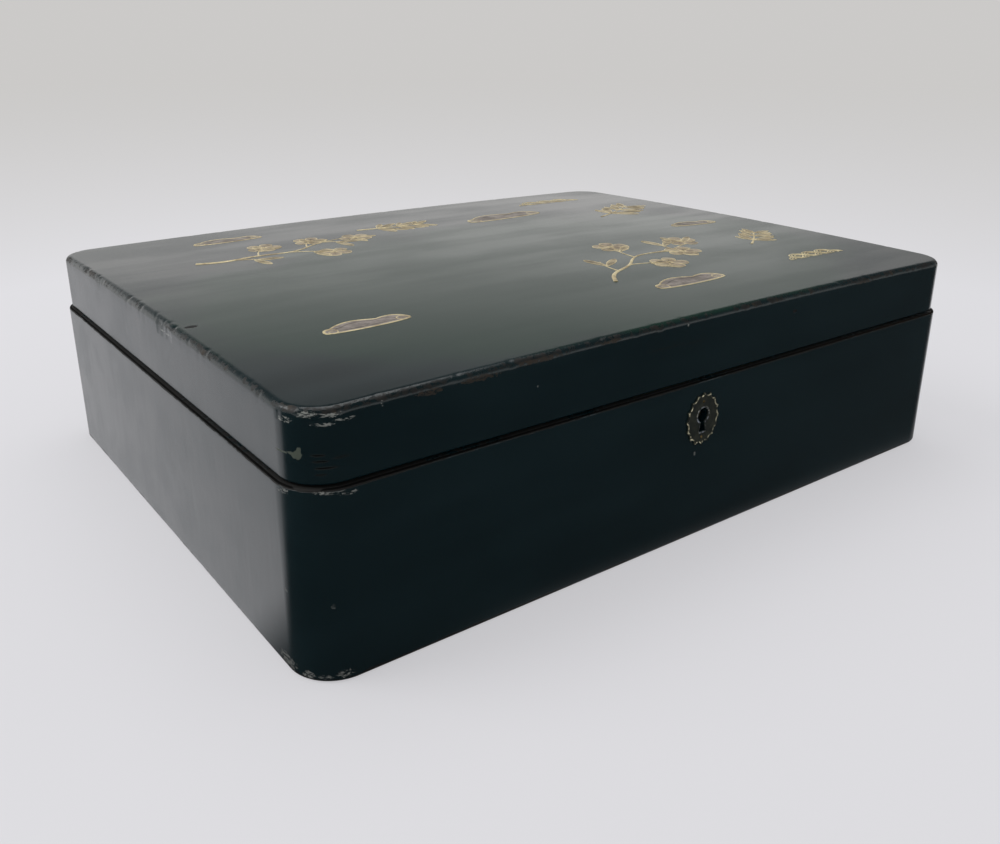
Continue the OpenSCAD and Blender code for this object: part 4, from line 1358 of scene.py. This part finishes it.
class DEEDBOX_OT_relief(bpy.types.Operator):
    """The gold relief on the lid: lines, petals, leaves and clouds"""

    bl_idname = "deed_box.relief"
    bl_label = "Gold relief"

    def execute(self, context):
        rise, gilding = context.scene.deed_box_carcass.crown, context.scene.deed_box_gilding
        relief = lid_relief()
        for tone, name, make, metallic in (
            ("gold", "relief_gold_lines", relief_line_mesh, 0.35),
            ("dark", "relief_dark_lines", relief_line_mesh, 0.0),
            ("petal", "relief_petal_shapes", relief_fill_mesh, 0.2),
            ("leaf", "relief_leaf_shapes", relief_fill_mesh, 0.2),
            ("mauve", "relief_mauve_shapes", relief_fill_mesh, 0.2),
        ):
            bright, worn = getattr(gilding, tone), getattr(gilding, f"{tone}_worn")
            paint = relief_paint(f"{tone}_relief", bright, worn, metallic)
            add_piece(make(relief, tone, rise), name, [paint], "lid")
        return {"FINISHED"}


class DEEDBOX_OT_escutcheon(bpy.types.Operator):
    """The scalloped keyhole plate"""

    bl_idname = "deed_box.escutcheon"
    bl_label = "Escutcheon"

    def execute(self, context):
        paint = escutcheon_paint(context.scene.deed_box_metal)
        bm = escutcheon_mesh()
        add_piece(bm, "escutcheon_scalloped", [paint], "base", ["escutcheon"])
        return {"FINISHED"}


class DEEDBOX_OT_metalwork(bpy.types.Operator):
    """Hinges, lock and link plate with softened edges, and the finishes of the other parts"""

    bl_idname = "deed_box.metalwork"
    bl_label = "Metalwork"

    def execute(self, context):
        lacquer, metal = context.scene.deed_box_lacquer, context.scene.deed_box_metal
        brass = aged_metal("aged_brass", metal.brass, metal.brass_dull, 0.3)
        screws = aged_metal("screw_brass", metal.screw, metal.screw_dull, 0.34, 0.46)
        steel = aged_metal("grey_steel", metal.steel, metal.steel_dull, 0.32, 0.52)
        under = plain_lacquer("underside_lacquer", lacquer, lacquer.rubbed)
        bottom = bottom_board_paint(lacquer)
        for name, node in list(frame["nodes"].items()):
            if name == "base_bottom":
                self.paint(node, bottom)
            elif name.startswith(("base", "lid")):
                self.paint(node, under)
            elif name.startswith("lock_") and name not in ("lock_case", "lock_plate"):
                self.soften(name, node, steel, "steel")
            elif "screws" in name or name == "escutcheon_pins":
                self.paint(node, screws)
            elif name != "escutcheon":
                self.soften(name, node, brass, "brass")
        return {"FINISHED"}

    def paint(self, node, material):
        node.data.materials.clear()
        node.data.materials.append(material)

    def soften(self, name, node, material, slot):
        """Replaces a node by a copy with joined faces and slightly rounded edges"""
        bm = bmesh.new()
        bm.from_mesh(node.data)
        bmesh.ops.remove_doubles(bm, verts=bm.verts, dist=0.0005 * MM)
        bmesh.ops.dissolve_limit(bm, angle_limit=math.radians(1), verts=bm.verts, edges=bm.edges)
        for face in bm.faces:
            face.material_index = 0
        piece = add_piece(bm, f"{name}_finished", [material], node["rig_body"], [name], 30)
        bevel = piece.modifiers.new("soft_edges", "BEVEL")
        bevel.width = 0.1 * MM
        bevel.segments = 2
        bevel.limit_method = "ANGLE"
        bevel.angle_limit = math.radians(35)
        bevel.use_clamp_overlap = True


class DEEDBOX_PT_panel(bpy.types.Panel):
    """Lists the steps that build the box"""

    bl_label = "Deed box"
    bl_idname = "DEEDBOX_PT_panel"
    bl_space_type = "VIEW_3D"
    bl_region_type = "UI"
    bl_category = "Deed box"

    def draw(self, context):
        for operator in OPERATORS:
            self.layout.operator(operator.bl_idname)


GROUPS = {
    "deed_box_carcass": DeedBoxCarcass,
    "deed_box_lacquer": DeedBoxLacquer,
    "deed_box_gilding": DeedBoxGilding,
    "deed_box_metal": DeedBoxMetal,
    "deed_box_stage": DeedBoxStage,
}
OPERATORS = (
    DEEDBOX_OT_stage,
    DEEDBOX_OT_base,
    DEEDBOX_OT_lid,
    DEEDBOX_OT_relief,
    DEEDBOX_OT_escutcheon,
    DEEDBOX_OT_metalwork,
)


def register():
    for name, group in GROUPS.items():
        bpy.utils.register_class(group)
        setattr(bpy.types.Scene, name, bpy.props.PointerProperty(type=group))
    for cls in (*OPERATORS, DEEDBOX_PT_panel):
        bpy.utils.register_class(cls)


def unregister():
    for cls in (DEEDBOX_PT_panel, *reversed(OPERATORS)):
        bpy.utils.unregister_class(cls)
    for name, group in GROUPS.items():
        delattr(bpy.types.Scene, name)
        bpy.utils.unregister_class(group)


def main():
    register()
    bpy.ops.deed_box.stage()
    bpy.ops.deed_box.base()
    bpy.ops.deed_box.lid()
    bpy.ops.deed_box.relief()
    bpy.ops.deed_box.escutcheon()
    bpy.ops.deed_box.metalwork()


if __name__ == "__main__":
    main()
